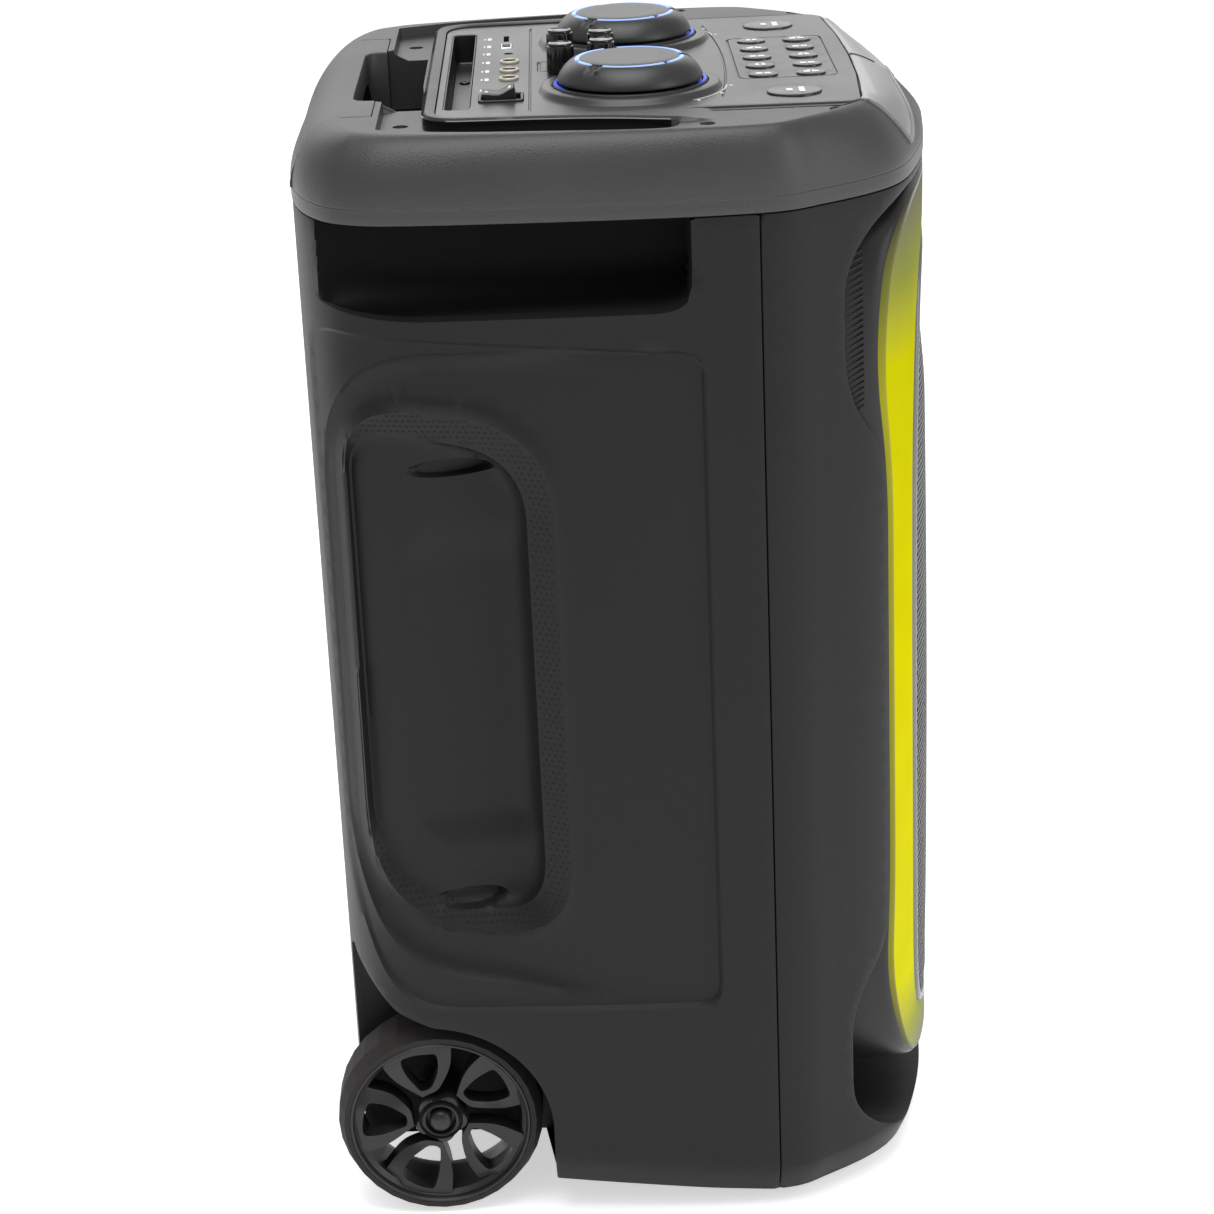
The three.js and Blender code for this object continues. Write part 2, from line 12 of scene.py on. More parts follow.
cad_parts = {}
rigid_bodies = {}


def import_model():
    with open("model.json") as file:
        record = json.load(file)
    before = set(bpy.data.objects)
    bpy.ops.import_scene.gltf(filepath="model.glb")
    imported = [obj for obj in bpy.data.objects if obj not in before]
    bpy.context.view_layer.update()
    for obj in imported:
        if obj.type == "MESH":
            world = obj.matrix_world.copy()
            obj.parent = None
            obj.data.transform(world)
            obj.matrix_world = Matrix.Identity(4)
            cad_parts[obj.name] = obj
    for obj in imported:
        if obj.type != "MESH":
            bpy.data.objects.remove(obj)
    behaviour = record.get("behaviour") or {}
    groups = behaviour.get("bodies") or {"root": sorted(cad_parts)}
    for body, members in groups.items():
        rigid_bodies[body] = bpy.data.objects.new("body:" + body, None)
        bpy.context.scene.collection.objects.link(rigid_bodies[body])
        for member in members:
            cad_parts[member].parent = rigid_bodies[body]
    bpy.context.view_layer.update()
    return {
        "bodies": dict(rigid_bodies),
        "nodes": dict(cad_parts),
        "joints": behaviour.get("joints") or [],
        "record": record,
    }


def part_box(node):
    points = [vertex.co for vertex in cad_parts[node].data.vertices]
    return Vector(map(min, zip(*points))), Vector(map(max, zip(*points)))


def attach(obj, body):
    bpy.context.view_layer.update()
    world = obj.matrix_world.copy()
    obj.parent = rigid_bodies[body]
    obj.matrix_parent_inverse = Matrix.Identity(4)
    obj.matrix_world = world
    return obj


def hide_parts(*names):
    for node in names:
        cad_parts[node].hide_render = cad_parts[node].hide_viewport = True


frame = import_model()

MM = 0.001


def box_mm(node):
    low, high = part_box(node)
    return np.array(low) / MM, np.array(high) / MM


def centre(node):
    low, high = box_mm(node)
    return (low + high) / 2


# ---- places and sizes from the frame's boxes ----
REAR_LOW, REAR_HIGH = box_mm("rear_shell")
FRONT_LOW, FRONT_HIGH = box_mm("front_shell")
CAP_LOW, CAP_HIGH = box_mm("top_cap")
GRIP_LOW, GRIP_HIGH = box_mm("handle_grip")
PANEL_LOW, PANEL_HIGH = box_mm("console_panel")
TRIM_HIGH = box_mm("front_trim")[1]
HOUSING_LOW, HOUSING_HIGH = box_mm("ring_housing")
LENS_LOW, LENS_HIGH = box_mm("ring_lens")
BEZEL_LOW, BEZEL_HIGH = box_mm("grille_bezel")
GRILLE_LOW = box_mm("front_grille")[0]
BAFFLE_LOW, BAFFLE_HIGH = box_mm("baffle")
TYRE_LOW, TYRE_HIGH = box_mm("tyre_right")
ROCKER_LOW, ROCKER_HIGH = box_mm("rocker_frame")
USB_LOW, USB_HIGH = box_mm("usb_port")

SEAM_Y = (FRONT_HIGH[1] + REAR_LOW[1]) / 2
BACK_Y = REAR_HIGH[1]
BODY_X = REAR_HIGH[0]
BODY_LOW_Z = FRONT_LOW[2]
BODY_TOP = REAR_HIGH[2]
CAP_BOTTOM = CAP_LOW[2]
DECK_Z = GRIP_HIGH[2]
BAND_Z = CAP_BOTTOM + 9.6
LEDGE_Z = DECK_Z - 6.5
RIM_Z = CAP_HIGH[2] + 0.6
PANEL_Z = USB_HIGH[2]
BAFFLE_Y = BAFFLE_LOW[1]
WHEEL_Y, WHEEL_Z = centre("tyre_right")[1:]
TYRE_RADIUS = (TYRE_HIGH[2] - TYRE_LOW[2]) / 2
WELL_X = TYRE_LOW[0] - 6.5
ARCH_FRONT = WHEEL_Y - TYRE_RADIUS - 6.6
GRIP_X = GRIP_HIGH[0]
KNOB_X, KNOB_Y = centre("volume_knob_right")[:2]
PORT_Y = centre("jack_1")[1]
RECESS_Z = BODY_TOP - 53
MID_Y = PANEL_HIGH[1] + 3

# Half of the body seen from above, back middle to front middle, later fitted to the shells' boxes.
# ROUNDING_REACH holds the reach of the cap's rounding at each of its points.
BODY_HALF = [
    (0, 183.5), (90, 183.5), (140, 176.5), (172, 162), (187, 143), (194, 115), (199, 50), (201.5, -10),
    (201.5, -50), (197.5, -92), (184, -116.5), (164, -144), (142, -162.5), (110, -174.5), (60, -185.5),
    (0, -191.8)]
ROUNDING_REACH = [31, 31, 27, 25, 25, 22, 17, 15, 13, 13, 15, 20, 23, 30, 38, 43]

# Corners are (u, v) or (u, v, reach); a corner with a reach is rounded from that far away on both sides.
PANEL_LOOP = [
    (SEAM_Y + 32, RECESS_Z - 23, 14), (BACK_Y - 8, RECESS_Z - 6, 22), (BACK_Y - 8, WHEEL_Z + 155, 40),
    (WHEEL_Y + 20, WHEEL_Z + 82, 35), (SEAM_Y + 32, WHEEL_Z + 82, 16)]
ARCH_LOOP = [
    (SEAM_Y + 20, RECESS_Z - 22), (BACK_Y - 44, RECESS_Z - 19, 40), (BACK_Y - 12, RECESS_Z - 64, 40),
    (BACK_Y - 11, WHEEL_Z + 170, 45), (WHEEL_Y + 14, WHEEL_Z + 108, 45), (SEAM_Y + 50, WHEEL_Z + 86),
    (SEAM_Y + 20, WHEEL_Z + 86)]
RIM_LOOP = [
    (WHEEL_Y + 30, WHEEL_Z + 465, 42), (WHEEL_Y - 89, WHEEL_Z + 451, 56), (WHEEL_Y - 90, WHEEL_Z + 127, 52),
    (WHEEL_Y + 32, WHEEL_Z + 144, 60)]
INNER_LOOP = [
    (WHEEL_Y + 28, WHEEL_Z + 448, 30), (WHEEL_Y - 72, WHEEL_Z + 431, 40), (WHEEL_Y - 73, WHEEL_Z + 139, 40),
    (WHEEL_Y + 28, WHEEL_Z + 162, 50)]
RECESS_EDGE = [
    (SEAM_Y + 38, RECESS_Z + 26), (SEAM_Y + 39, RECESS_Z, 22), (BACK_Y - 54, RECESS_Z - 1, 25),
    (BACK_Y + 16, RECESS_Z + 14)]

MOUTH_HALF = [
    (0, 20), (176, 21, 66), (176, 130, 25), (154, 165, 25), (154, 475, 25), (176, 515, 30), (176, 626, 55),
    (0, 627)]
RING_OUTER_HALF = [
    (0, 50), (128, 58, 45), (156, 120, 45), (152, 200, 30), (152, 460, 30), (161, 540, 40), (149, 619, 50),
    (0, 625)]
RING_INNER_HALF = [(0, 70), (105, 72, 62), (106, 380, 60), (98, 490, 60), (72, 576, 45), (0, 580)]
PANEL_HALF = [(0, 97), (144, 97, 20), (147, 20), (139, -44, 20), (141, -142, 12), (60, -147), (0, -148)]
RIM_HALF = [
    (0, PANEL_HIGH[1] + 7), (PANEL_HIGH[0] + 2, PANEL_HIGH[1] + 7, 22), (PANEL_HIGH[0] + 6, KNOB_Y + 55),
    (PANEL_HIGH[0] + 10, KNOB_Y + 18, 20), (PANEL_HIGH[0] + 25, KNOB_Y - 30),
    (PANEL_HIGH[0] + 25, KNOB_Y - 45), (0, KNOB_Y - 45)]
LEDGE = [
    (60, KNOB_Y + 75), (60, GRIP_LOW[1] - 4), (CAP_HIGH[0] - 44, GRIP_LOW[1] - 4),
    (CAP_HIGH[0] - 29, KNOB_Y + 105, 30),
    (CAP_HIGH[0] - 16, KNOB_Y + 5, 20), (CAP_HIGH[0] - 16, KNOB_Y - 24, 12), (CAP_HIGH[0] - 52, KNOB_Y - 24),
    (CAP_HIGH[0] - 52, KNOB_Y + 75)]


# ---- curves and distances ----
def catmull(points, per):
    """Smooth open curve through the points, with so many steps from each to the next."""
    pts = np.array(points, float)
    n = len(pts)
    out = []
    for i in range(n - 1):
        p0, p1, p2, p3 = (pts[min(max(k, 0), n - 1)] for k in (i - 1, i, i + 1, i + 2))
        for t in np.arange(per) / per:
            m1 = (p2 - p0) / 2
            m2 = (p3 - p1) / 2
            out.append((2 * t**3 - 3 * t**2 + 1) * p1 + (t**3 - 2 * t**2 + t) * m1
                       + (-2 * t**3 + 3 * t**2) * p2 + (t**3 - t**2) * m2)
    out.append(pts[-1])
    return np.array(out)


def resample(points, step, closed=True):
    pts = np.vstack([points, points[:1]]) if closed else np.array(points, float)
    length = np.r_[0, np.cumsum(np.linalg.norm(np.diff(pts, axis=0), axis=1))]
    count = max(3, int(round(length[-1] / step)))
    at = np.linspace(0, length[-1], count + 1)
    if closed:
        at = at[:-1]
    return np.column_stack([np.interp(at, length, pts[:, k]) for k in range(pts.shape[1])])


def offset_loop(loop, distance):
    """Moves a closed loop outwards (inwards when negative)."""
    pts = np.array(loop, float)
    before, after = np.roll(pts, 1, 0), np.roll(pts, -1, 0)
    area = np.sum(pts[:, 0] * after[:, 1] - after[:, 0] * pts[:, 1]) / 2
    into = pts - before
    out = after - pts
    into /= np.linalg.norm(into, axis=1)[:, None] + 1e-9
    out /= np.linalg.norm(out, axis=1)[:, None] + 1e-9
    normal = np.column_stack([into[:, 1] + out[:, 1], -into[:, 0] - out[:, 0]])
    normal /= np.linalg.norm(normal, axis=1)[:, None] + 1e-9
    lean = np.sum(normal * np.column_stack([into[:, 1], -into[:, 0]]), axis=1)
    return pts + normal * (np.sign(area) * distance / np.maximum(lean, 0.5))[:, None]


def distance_inside(points, loop):
    """Signed distance from a closed loop, positive inside."""
    p = np.asarray(points, float)
    a = np.asarray(loop, float)
    e = np.roll(a, -1, 0) - a
    size = np.sum(e * e, axis=1) + 1e-12
    out = np.empty(len(p))
    for start in range(0, len(p), 4000):
        q = p[start:start + 4000]
        dx = q[:, :1] - a[:, 0]
        dy = q[:, 1:2] - a[:, 1]
        t = np.clip((dx * e[:, 0] + dy * e[:, 1]) / size, 0, 1)
        near = np.sqrt(np.min((dx - t * e[:, 0]) ** 2 + (dy - t * e[:, 1]) ** 2, axis=1))
        spans = (dy < 0) != (dy < e[:, 1])
        slope = np.where(np.abs(e[:, 1]) < 1e-12, 1e-12, e[:, 1])
        left = dx < dy * e[:, 0] / slope
        inside = np.sum(spans & left, axis=1) % 2 == 1
        out[start:start + 4000] = np.where(inside, near, -near)
    return out


def ramp(value, low, high):
    t = np.clip((value - low) / (high - low), 0, 1)
    return t * t * (3 - 2 * t)


def roll_off(distance, radius):
    """Drop of a rounded edge at a distance inside it."""
    t = np.clip(1 - np.asarray(distance) / radius, 0, 1)
    return radius * (1 - np.sqrt(np.maximum(0, 1 - t * t)))


def rounded(corners, steps=10):
    """Outline with each corner that has a reach replaced by a curve."""
    out = []
    for i, corner in enumerate(corners):
        here = np.array(corner[:2], float)
        if len(corner) < 3:
            out.append(here)
            continue
        ends = []
        for other in (corners[i - 1], corners[(i + 1) % len(corners)]):
            along = np.array(other[:2], float) - here
            ends.append(here + along * min(corner[2] / np.linalg.norm(along), 0.49))
        for t in np.linspace(0, 1, steps + 1):
            out.append((1 - t) ** 2 * ends[0] + 2 * t * (1 - t) * here + t * t * ends[1])
    return np.array(out)


def fit(points, low, high):
    """Moves and scales an outline so that its own box becomes the given one."""
    pts = np.array(points, float)
    own_low, own_high = pts.min(axis=0), pts.max(axis=0)
    return np.array(low) + (pts - own_low) * (np.array(high) - np.array(low)) / (own_high - own_low)


def mirror_half(half):
    right = list(half)
    left = [(-x, v) for x, v in half if x > 0][::-1]
    return np.array(right + left, float)


# ---- meshes ----
def mesh_piece(name, verts, faces, body, slot, material, nodes=(), angle=32, solid=0.0, bevel=0.0):
    mesh = bpy.data.meshes.new(name)
    mesh.from_pydata([tuple(float(c) * MM for c in v) for v in verts], [],
                     [tuple(int(i) for i in f) for f in faces])
    mesh.validate()
    piece = bpy.data.objects.new(name, mesh)
    bpy.context.scene.collection.objects.link(piece)
    finish_piece(piece, body, material, nodes, angle, solid, bevel)
    return piece


def finish_piece(piece, body, material, nodes, angle, solid, bevel):
    mesh = piece.data
    mesh.materials.append(material)
    apply = []
    if solid:
        m = piece.modifiers.new("thick", "SOLIDIFY")
        m.thickness = solid * MM
        m.offset = -1
        m.use_even_offset = False
        apply.append(m.name)
    if bevel:
        m = piece.modifiers.new("edges", "BEVEL")
        m.width = bevel * MM
        m.segments = 2
        m.limit_method = "ANGLE"
        m.angle_limit = math.radians(40)
        apply.append(m.name)
    if apply:
        depsgraph = bpy.context.evaluated_depsgraph_get()
        final = bpy.data.meshes.new_from_object(piece.evaluated_get(depsgraph))
        piece.modifiers.clear()
        piece.data = final
        mesh = final
    mesh.shade_smooth()
    mesh.set_sharp_from_angle(angle=math.radians(angle))
    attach(piece, body)
    if nodes:
        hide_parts(*nodes)


def triangulate(loops, points, keep, open_lines=()):
    """Constrained triangles over 2D loops and points; keep(centres) picks the ones that stay."""
    verts = []
    edges = []
    for loop in loops:
        base = len(verts)
        verts.extend(map(tuple, loop))
        edges.extend((base + i, base + (i + 1) % len(loop)) for i in range(len(loop)))
    for line in open_lines:
        base = len(verts)
        verts.extend(map(tuple, line))
        edges.extend((base + i, base + i + 1) for i in range(len(line) - 1))
    verts.extend(map(tuple, points))
    flat, _, tris, *_ = delaunay_2d_cdt([Vector(v) for v in verts], edges, [], 0, 1e-4, False)
    flat = np.array([tuple(v) for v in flat])
    tris = np.array([t for t in tris if len(t) == 3])
    centres = flat[tris].mean(axis=1)
    tris = tris[keep(centres)]
    used = np.unique(tris)
    renumber = np.full(len(flat), -1)
    renumber[used] = np.arange(len(used))
    return flat[used], renumber[tris]


def level(points, z):
    """Adds the same last coordinate to every point."""
    return np.column_stack([points, np.full(len(points), z)])


def upright(u, heights):
    """Points one above the other at u."""
    return np.column_stack([np.full(len(heights), u), heights])


def shifted(points, u, v):
    return [(u + a, v + b) for a, b in points]


def grid_points(x0, x1, y0, y1, step):
    xs = np.linspace(x0, x1, max(2, int(round((x1 - x0) / step)) + 1))
    ys = np.linspace(y0, y1, max(2, int(round((y1 - y0) / step)) + 1))
    gx, gy = np.meshgrid(xs, ys)
    shift = np.zeros_like(gx)
    shift[1::2, :] = (xs[1] - xs[0]) / 2
    inner = (gx + shift < x1 - 0.2 * step)
    return np.column_stack([(gx + shift)[inner], gy[inner]])


def boundary_edges(tris):
    count = {}
    for a, b, c in tris:
        for e in ((a, b), (b, c), (c, a)):
            key = (min(e), max(e))
            count.setdefault(key, []).append(e)
    return [v[0] for v in count.values() if len(v) == 1]


def add_skirt(verts, faces, edges, move):
    """Extrudes the given boundary edges; move(points) gives where their copies go."""
    ids = sorted({i for e in edges for i in e})
    copies = move(verts[ids])
    start = len(verts)
    where = {v: start + k for k, v in enumerate(ids)}
    verts = np.vstack([verts, copies])
    faces = list(faces) + [(b, a, where[a], where[b]) for a, b in edges]
    return verts, faces


def slab(polygon, axis, low, high):
    """Closed slab of a polygon along x or z: (verts, faces)."""
    poly = np.asarray(polygon, float)
    n = len(poly)
    verts = []
    for end in (low, high):
        for u, v in poly:
            verts.append((end, u, v) if axis == "x" else (u, v, end))
    faces = [tuple(range(n))[::-1], tuple(range(n, 2 * n))]
    faces += [(i, (i + 1) % n, n + (i + 1) % n, n + i) for i in range(n)]
    return np.array(verts), faces


def join(parts):
    verts = []
    faces = []
    for v, f in parts:
        base = sum(len(x) for x in verts)
        verts.append(np.asarray(v, float))
        faces.extend(tuple(i + base for i in face) for face in f)
    return np.vstack(verts), faces


def lathe(profile, centre, axis="z", segments=64, closed=False):
    """Turned mesh; the profile is (radius, height along the axis)."""
    verts = []
    rows = []
    for r, h in profile:
        if r < 1e-6:
            rows.append([len(verts)])
            verts.append((0, 0, h))
            continue
        rows.append(list(range(len(verts), len(verts) + segments)))
        for k in range(segments):
            a = 2 * math.pi * k / segments
            verts.append((r * math.cos(a), r * math.sin(a), h))
    faces = []
    pairs = list(zip(rows, rows[1:]))
    if closed:
        pairs.append((rows[-1], rows[0]))
    for lower, upper in pairs:
        for k in range(segments):
            j = (k + 1) % segments
            if len(lower) == 1 and len(upper) == 1:
                continue
            if len(lower) == 1:
                faces.append((lower[0], upper[j], upper[k]))
            elif len(upper) == 1:
                faces.append((lower[k], lower[j], upper[0]))
            else:
                faces.append((lower[k], lower[j], upper[j], upper[k]))
    verts = np.array(verts, float)
    if axis == "x":
        verts = verts[:, [2, 0, 1]]
    return verts + np.array(centre, float), faces


# ---- body outline ----
OUTLINE = fit(catmull(BODY_HALF, 14), (0, FRONT_LOW[1]), (BODY_X, BACK_Y))
OUTLINE[[0, -1], 0] = 0
OUT_S = np.r_[0, np.cumsum(np.linalg.norm(np.diff(OUTLINE, axis=0), axis=1))]
OUT_LEN = OUT_S[-1]
SIDE_PART = OUTLINE[:, 1] < BACK_Y - 1.5
FRONT_PART = OUTLINE[:, 1] < -60
REAR_PART = OUTLINE[:, 1] > 120


def outline_at(s):
    """Point on the body outline; s runs from the middle of the back, negative on the -x side."""
    s = np.asarray(s, float)
    a = np.abs(s)
    x = np.interp(a, OUT_S, OUTLINE[:, 0]) * np.where(s < 0, -1, 1)
    return np.column_stack([x, np.interp(a, OUT_S, OUTLINE[:, 1])])


def outline_normal(s):
    ahead = outline_at(s + 1.5)
    behind = outline_at(s - 1.5)
    d = ahead - behind
    d /= np.linalg.norm(d, axis=1)[:, None]
    return np.column_stack([-d[:, 1], d[:, 0]])


def s_of_y(y):
    ys = OUTLINE[SIDE_PART][:, 1]
    return np.interp(-np.asarray(y, float), -ys, OUT_S[SIDE_PART])


def s_of_x_front(x):
    return np.interp(-np.asarray(x, float), -OUTLINE[FRONT_PART][:, 0], OUT_S[FRONT_PART])


def s_of_x_rear(x):
    return np.interp(x, OUTLINE[REAR_PART][:, 0], OUT_S[REAR_PART])


def front_y(x):
    """Y of the body's front face at a given x."""
    line = OUTLINE[FRONT_PART][::-1]
    return np.interp(np.abs(x), line[:, 0], line[:, 1])


# ---- materials ----
def add_node(mat, kind, values=(), wires=(), **settings):
    """Adds a shader node; values and wires are pairs of an input and what goes into it."""
    node = mat.node_tree.nodes.new("ShaderNode" + kind)
    for name, value in settings.items():
        setattr(node, name, value)
    for where, value in values:
        node.inputs[where].default_value = value
    for where, source in wires:
        mat.node_tree.links.new(source, node.inputs[where])
    return node


def new_material(name, color, roughness, metallic=0.0, grain=0.0, grain_scale=900.0, coat=0.0, spots=0.0,
                 rough_var=0.06, specular=0.5, color_var=0.15):
    mat = bpy.data.materials.new(name)
    mat.use_nodes = True
    links = mat.node_tree.links
    shader = mat.node_tree.nodes["Principled BSDF"]
    for where, value in (("Metallic", metallic), ("Coat Weight", coat), ("Coat Roughness", 0.05),
                         ("Specular IOR Level", specular)):
        shader.inputs[where].default_value = value
    place = add_node(mat, "TexCoord").outputs["Object"]
    cloud = add_node(mat, "TexNoise", [("Scale", 14.0), ("Detail", 4.0)], [("Vector", place)]).outputs["Fac"]
    fine = add_node(mat, "TexNoise", [("Scale", grain_scale), ("Detail", 3.0)],
                    [("Vector", place)]).outputs["Fac"]
    dark = [c * (1 - color_var) for c in color]
    light = [min(1, c * (1 + color_var)) for c in color]
    last = add_node(mat, "MixRGB", [(1, (*dark, 1)), (2, (*light, 1))], [(0, cloud)]).outputs[0]
    if spots:
        speck = add_node(mat, "MixRGB", [(0, 1.0)], blend_type="MULTIPLY")
        span = add_node(mat, "MapRange", [("To Min", 1 - spots), ("To Max", 1 + spots)], [("Value", fine)])
        links.new(last, speck.inputs[1])
        links.new(span.outputs[0], speck.inputs[2])
        last = speck.outputs[0]
    links.new(last, shader.inputs["Base Color"])
    ends = [("To Min", max(0.02, roughness - rough_var)), ("To Max", min(1.0, roughness + rough_var))]
    links.new(add_node(mat, "MapRange", ends, [("Value", cloud)]).outputs[0], shader.inputs["Roughness"])
    if grain:
        bump = add_node(mat, "Bump", [("Strength", min(1.0, grain)), ("Distance", 0.0004)],
                        [("Height", fine)])
        links.new(bump.outputs[0], shader.inputs["Normal"])
    return mat


def shell_look(name):
    return new_material(name, (0.0118, 0.0118, 0.0124), 0.46, grain=0.5, grain_scale=1100, spots=0.25,
                        specular=0.2)


SHELL = shell_look("shell_abs")
# Painted light: the cap's plastic is lighter than the shell's to stand in for the top light falling on the
# cap's rounding.
CAP_ABS = new_material("cap_abs", (0.031, 0.0315, 0.0325), 0.42, grain=0.6, grain_scale=950, spots=0.3,
                       specular=0.5)
CONSOLE = new_material("console_abs", (0.026, 0.0263, 0.027), 0.33, grain=0.25, grain_scale=1400, spots=0.15,
                       specular=0.5)
SATIN = new_material("satin_abs", (0.011, 0.011, 0.012), 0.36, grain=0.15, grain_scale=1500, spots=0.1,
                     specular=0.35)
GLOSS = new_material("gloss_abs", (0.005, 0.005, 0.0055), 0.07, rough_var=0.02, coat=0.5)
DARK = new_material("dark_cup", (0.004, 0.004, 0.004), 0.5, grain=0.1)
KNOB = new_material("knob_soft_touch", (0.018, 0.0182, 0.0188), 0.36, grain=0.3, grain_scale=1700, spots=0.15)
SMALL_KNOB = new_material("small_knob_gloss", (0.008, 0.008, 0.0085), 0.16, grain=0.05, grain_scale=1500)
BUTTON = new_material("button_satin", (0.012, 0.012, 0.0125), 0.26, grain=0.1, grain_scale=1600)
RIM = new_material("wheel_rim_abs", (0.014, 0.0142, 0.015), 0.34, grain=0.25, grain_scale=1300, spots=0.15,
                   specular=0.4)
RUBBER = new_material("tyre_rubber", (0.016, 0.0145, 0.0135), 0.62, grain=0.6, grain_scale=800, spots=0.2,
                      specular=0.3)
BEZEL = new_material("bezel_grey", (0.17, 0.175, 0.18), 0.26, metallic=0.35, grain=0.08, grain_scale=1500)
# Painted reflection: the trim's grey colour stands in for the white surroundings reflected in its glossy
# black.
TRIM = new_material("trim_gloss_painted_reflection", (0.15, 0.151, 0.153), 0.3, rough_var=0.03, coat=0.15, specular=0.7)
TRIM_LIP = new_material("trim_lip_grey", (0.16, 0.163, 0.165), 0.3, metallic=0.2, grain=0.1)
GRILLE = new_material("grille_paint", (0.02, 0.02, 0.021), 0.4, metallic=0.55, grain=0.3, grain_scale=1800)
STEEL = new_material("brushed_steel", (0.55, 0.56, 0.57), 0.28, metallic=1.0, grain=0.2, grain_scale=700)
SCREW = new_material("screw_black_zinc", (0.012, 0.012, 0.013), 0.35, metallic=0.6, grain=0.2)
CREAM = new_material("jack_cream", (0.56, 0.52, 0.41), 0.32, metallic=0.1, grain=0.1)
WHITE = new_material("print_white", (0.72, 0.73, 0.74), 0.5, grain=0.15, color_var=0.04)
PAPER = new_material("cone_paper", (0.014, 0.014, 0.014), 0.8, grain=0.8, grain_scale=500, spots=0.3)
BOARD = new_material("circuit_board", (0.02, 0.09, 0.04), 0.4, grain=0.2, grain_scale=600, spots=0.3)


def paint_recess_shade(mat, surface, deep_x, edge_y, color):
    """Paints shade into a shell material: darker and less shiny towards the grip recess's back wall, fading
    out at the rear corner.
    """
    links = mat.node_tree.links
    shader = mat.node_tree.nodes["Principled BSDF"]
    coords = add_node(mat, "TexCoord")
    split = add_node(mat, "SeparateXYZ", (), [(0, coords.outputs["Object"])])
    side = add_node(mat, "Math", (), [(0, split.outputs["X"])], operation="ABSOLUTE")
    shares = []
    for source, start, stop in ((side.outputs[0], surface, deep_x),
                                (split.outputs["Y"], edge_y, edge_y - 16)):
        share = add_node(mat, "MapRange", [("From Min", start * MM), ("From Max", stop * MM)],
                         [("Value", source)], interpolation_type="SMOOTHSTEP")
        shares.append(share.outputs[0])
    both = add_node(mat, "Math", (), enumerate(shares), operation="MULTIPLY").outputs[0]
    before = shader.inputs["Base Color"].links[0].from_socket
    mix = add_node(mat, "MixRGB", [(2, (*color, 1))], [(0, both), (1, before)])
    links.new(mix.outputs[0], shader.inputs["Base Color"])
    ends = [("To Min", shader.inputs["Specular IOR Level"].default_value), ("To Max", 0.07)]
    sheen = add_node(mat, "MapRange", ends, [("Value", both)])
    links.new(sheen.outputs[0], shader.inputs["Specular IOR Level"])
    return mat


def glowing(mat, strength, stops, low, high, depth=0.25):
    """Lights a material from behind, with colour stops at shares of a height."""
    links = mat.node_tree.links
    shader = mat.node_tree.nodes["Principled BSDF"]
    place = add_node(mat, "TexCoord").outputs["Object"]
    split = add_node(mat, "SeparateXYZ", (), [(0, place)])
    span = add_node(mat, "MapRange", [("From Min", low * MM), ("From Max", high * MM)],
                    [("Value", split.outputs["Z"])])
    tint = add_node(mat, "ValToRGB", (), [(0, span.outputs[0])])
    elements = tint.color_ramp.elements
    while len(elements) > 1:
        elements.remove(elements[-1])
    for i, (share, color) in enumerate(stops):
        e = elements[0] if i == 0 else elements.new(share)
        e.position = share
        e.color = (*color, 1)
    cloud = add_node(mat, "TexNoise", [("Scale", 22.0)], [("Vector", place)])
    vary = add_node(mat, "MapRange", [("To Min", 0.88), ("To Max", 1.1)], [("Value", cloud.outputs["Fac"])])
    glow = add_node(mat, "MixRGB", [(0, 1.0)], [(1, tint.outputs[0]), (2, vary.outputs[0])],
                    blend_type="MULTIPLY")
    links.new(glow.outputs[0], shader.inputs["Emission Color"])
    shader.inputs["Emission Strength"].default_value = strength
    dim = add_node(mat, "MixRGB", [(0, 1.0), (2, (depth, depth, depth, 1))], [(1, tint.outputs[0])],
                   blend_type="MULTIPLY")
    links.new(dim.outputs[0], shader.inputs["Base Color"])
    return mat


# Painted shade: a darkened, duller copy of the shell plastic for the inside of the grip recess.
SHELL_PAINTED_SHADE = paint_recess_shade(
    shell_look("shell_abs_recess_painted_shade"), BODY_X - 6, BODY_X - 22, BACK_Y - 4, (0.003, 0.003, 0.0031))
LENS_STOPS = [
    (0.0, (0.3, 0.33, 0.3)), (0.06, (0.4, 0.42, 0.1)), (0.13, (0.74, 0.71, 0.02)), (0.5, (0.76, 0.69, 0.004)),
    (0.83, (0.6, 0.58, 0.004)), (0.91, (0.3, 0.32, 0.06)), (1.0, (0.17, 0.17, 0.15))]
LENS = glowing(new_material("lens_lit", (0.5, 0.5, 0.0), 0.3, rough_var=0.04, specular=0.0), 0.92, LENS_STOPS,
               LENS_LOW[2], LENS_HIGH[2], depth=0.1)
EDGE_STOPS = [
    (0.0, (0.05, 0.05, 0.05)), (0.15, (0.22, 0.21, 0.02)), (0.8, (0.3, 0.285, 0.012)),
    (0.9, (0.15, 0.15, 0.02)), (1.0, (0.04, 0.04, 0.035))]
LENS_EDGE = glowing(new_material("lens_edge_olive", (0.1, 0.1, 0.0), 0.25, rough_var=0.04, specular=0.06),
                    0.9, EDGE_STOPS, LENS_LOW[2], LENS_HIGH[2])
BLUE = glowing(new_material("light_guide_blue", (0.02, 0.1, 0.9), 0.35, specular=0.2), 0.9,
               [(0.2, (0.01, 0.05, 0.7)), (0.8, (0.01, 0.06, 0.8))], PANEL_Z, RIM_Z + 18)
BLUE_TOP = glowing(new_material("light_guide_pale_blue", (0.2, 0.3, 0.9), 0.3, specular=0.3), 1.2,
                   [(0.2, (0.20, 0.34, 0.9)), (0.8, (0.26, 0.42, 1.0))], PANEL_Z, RIM_Z + 18)
ROCKER_BLACK = new_material("rocker_black", (0.006, 0.006, 0.0065), 0.34, grain=0.1, specular=0.3)


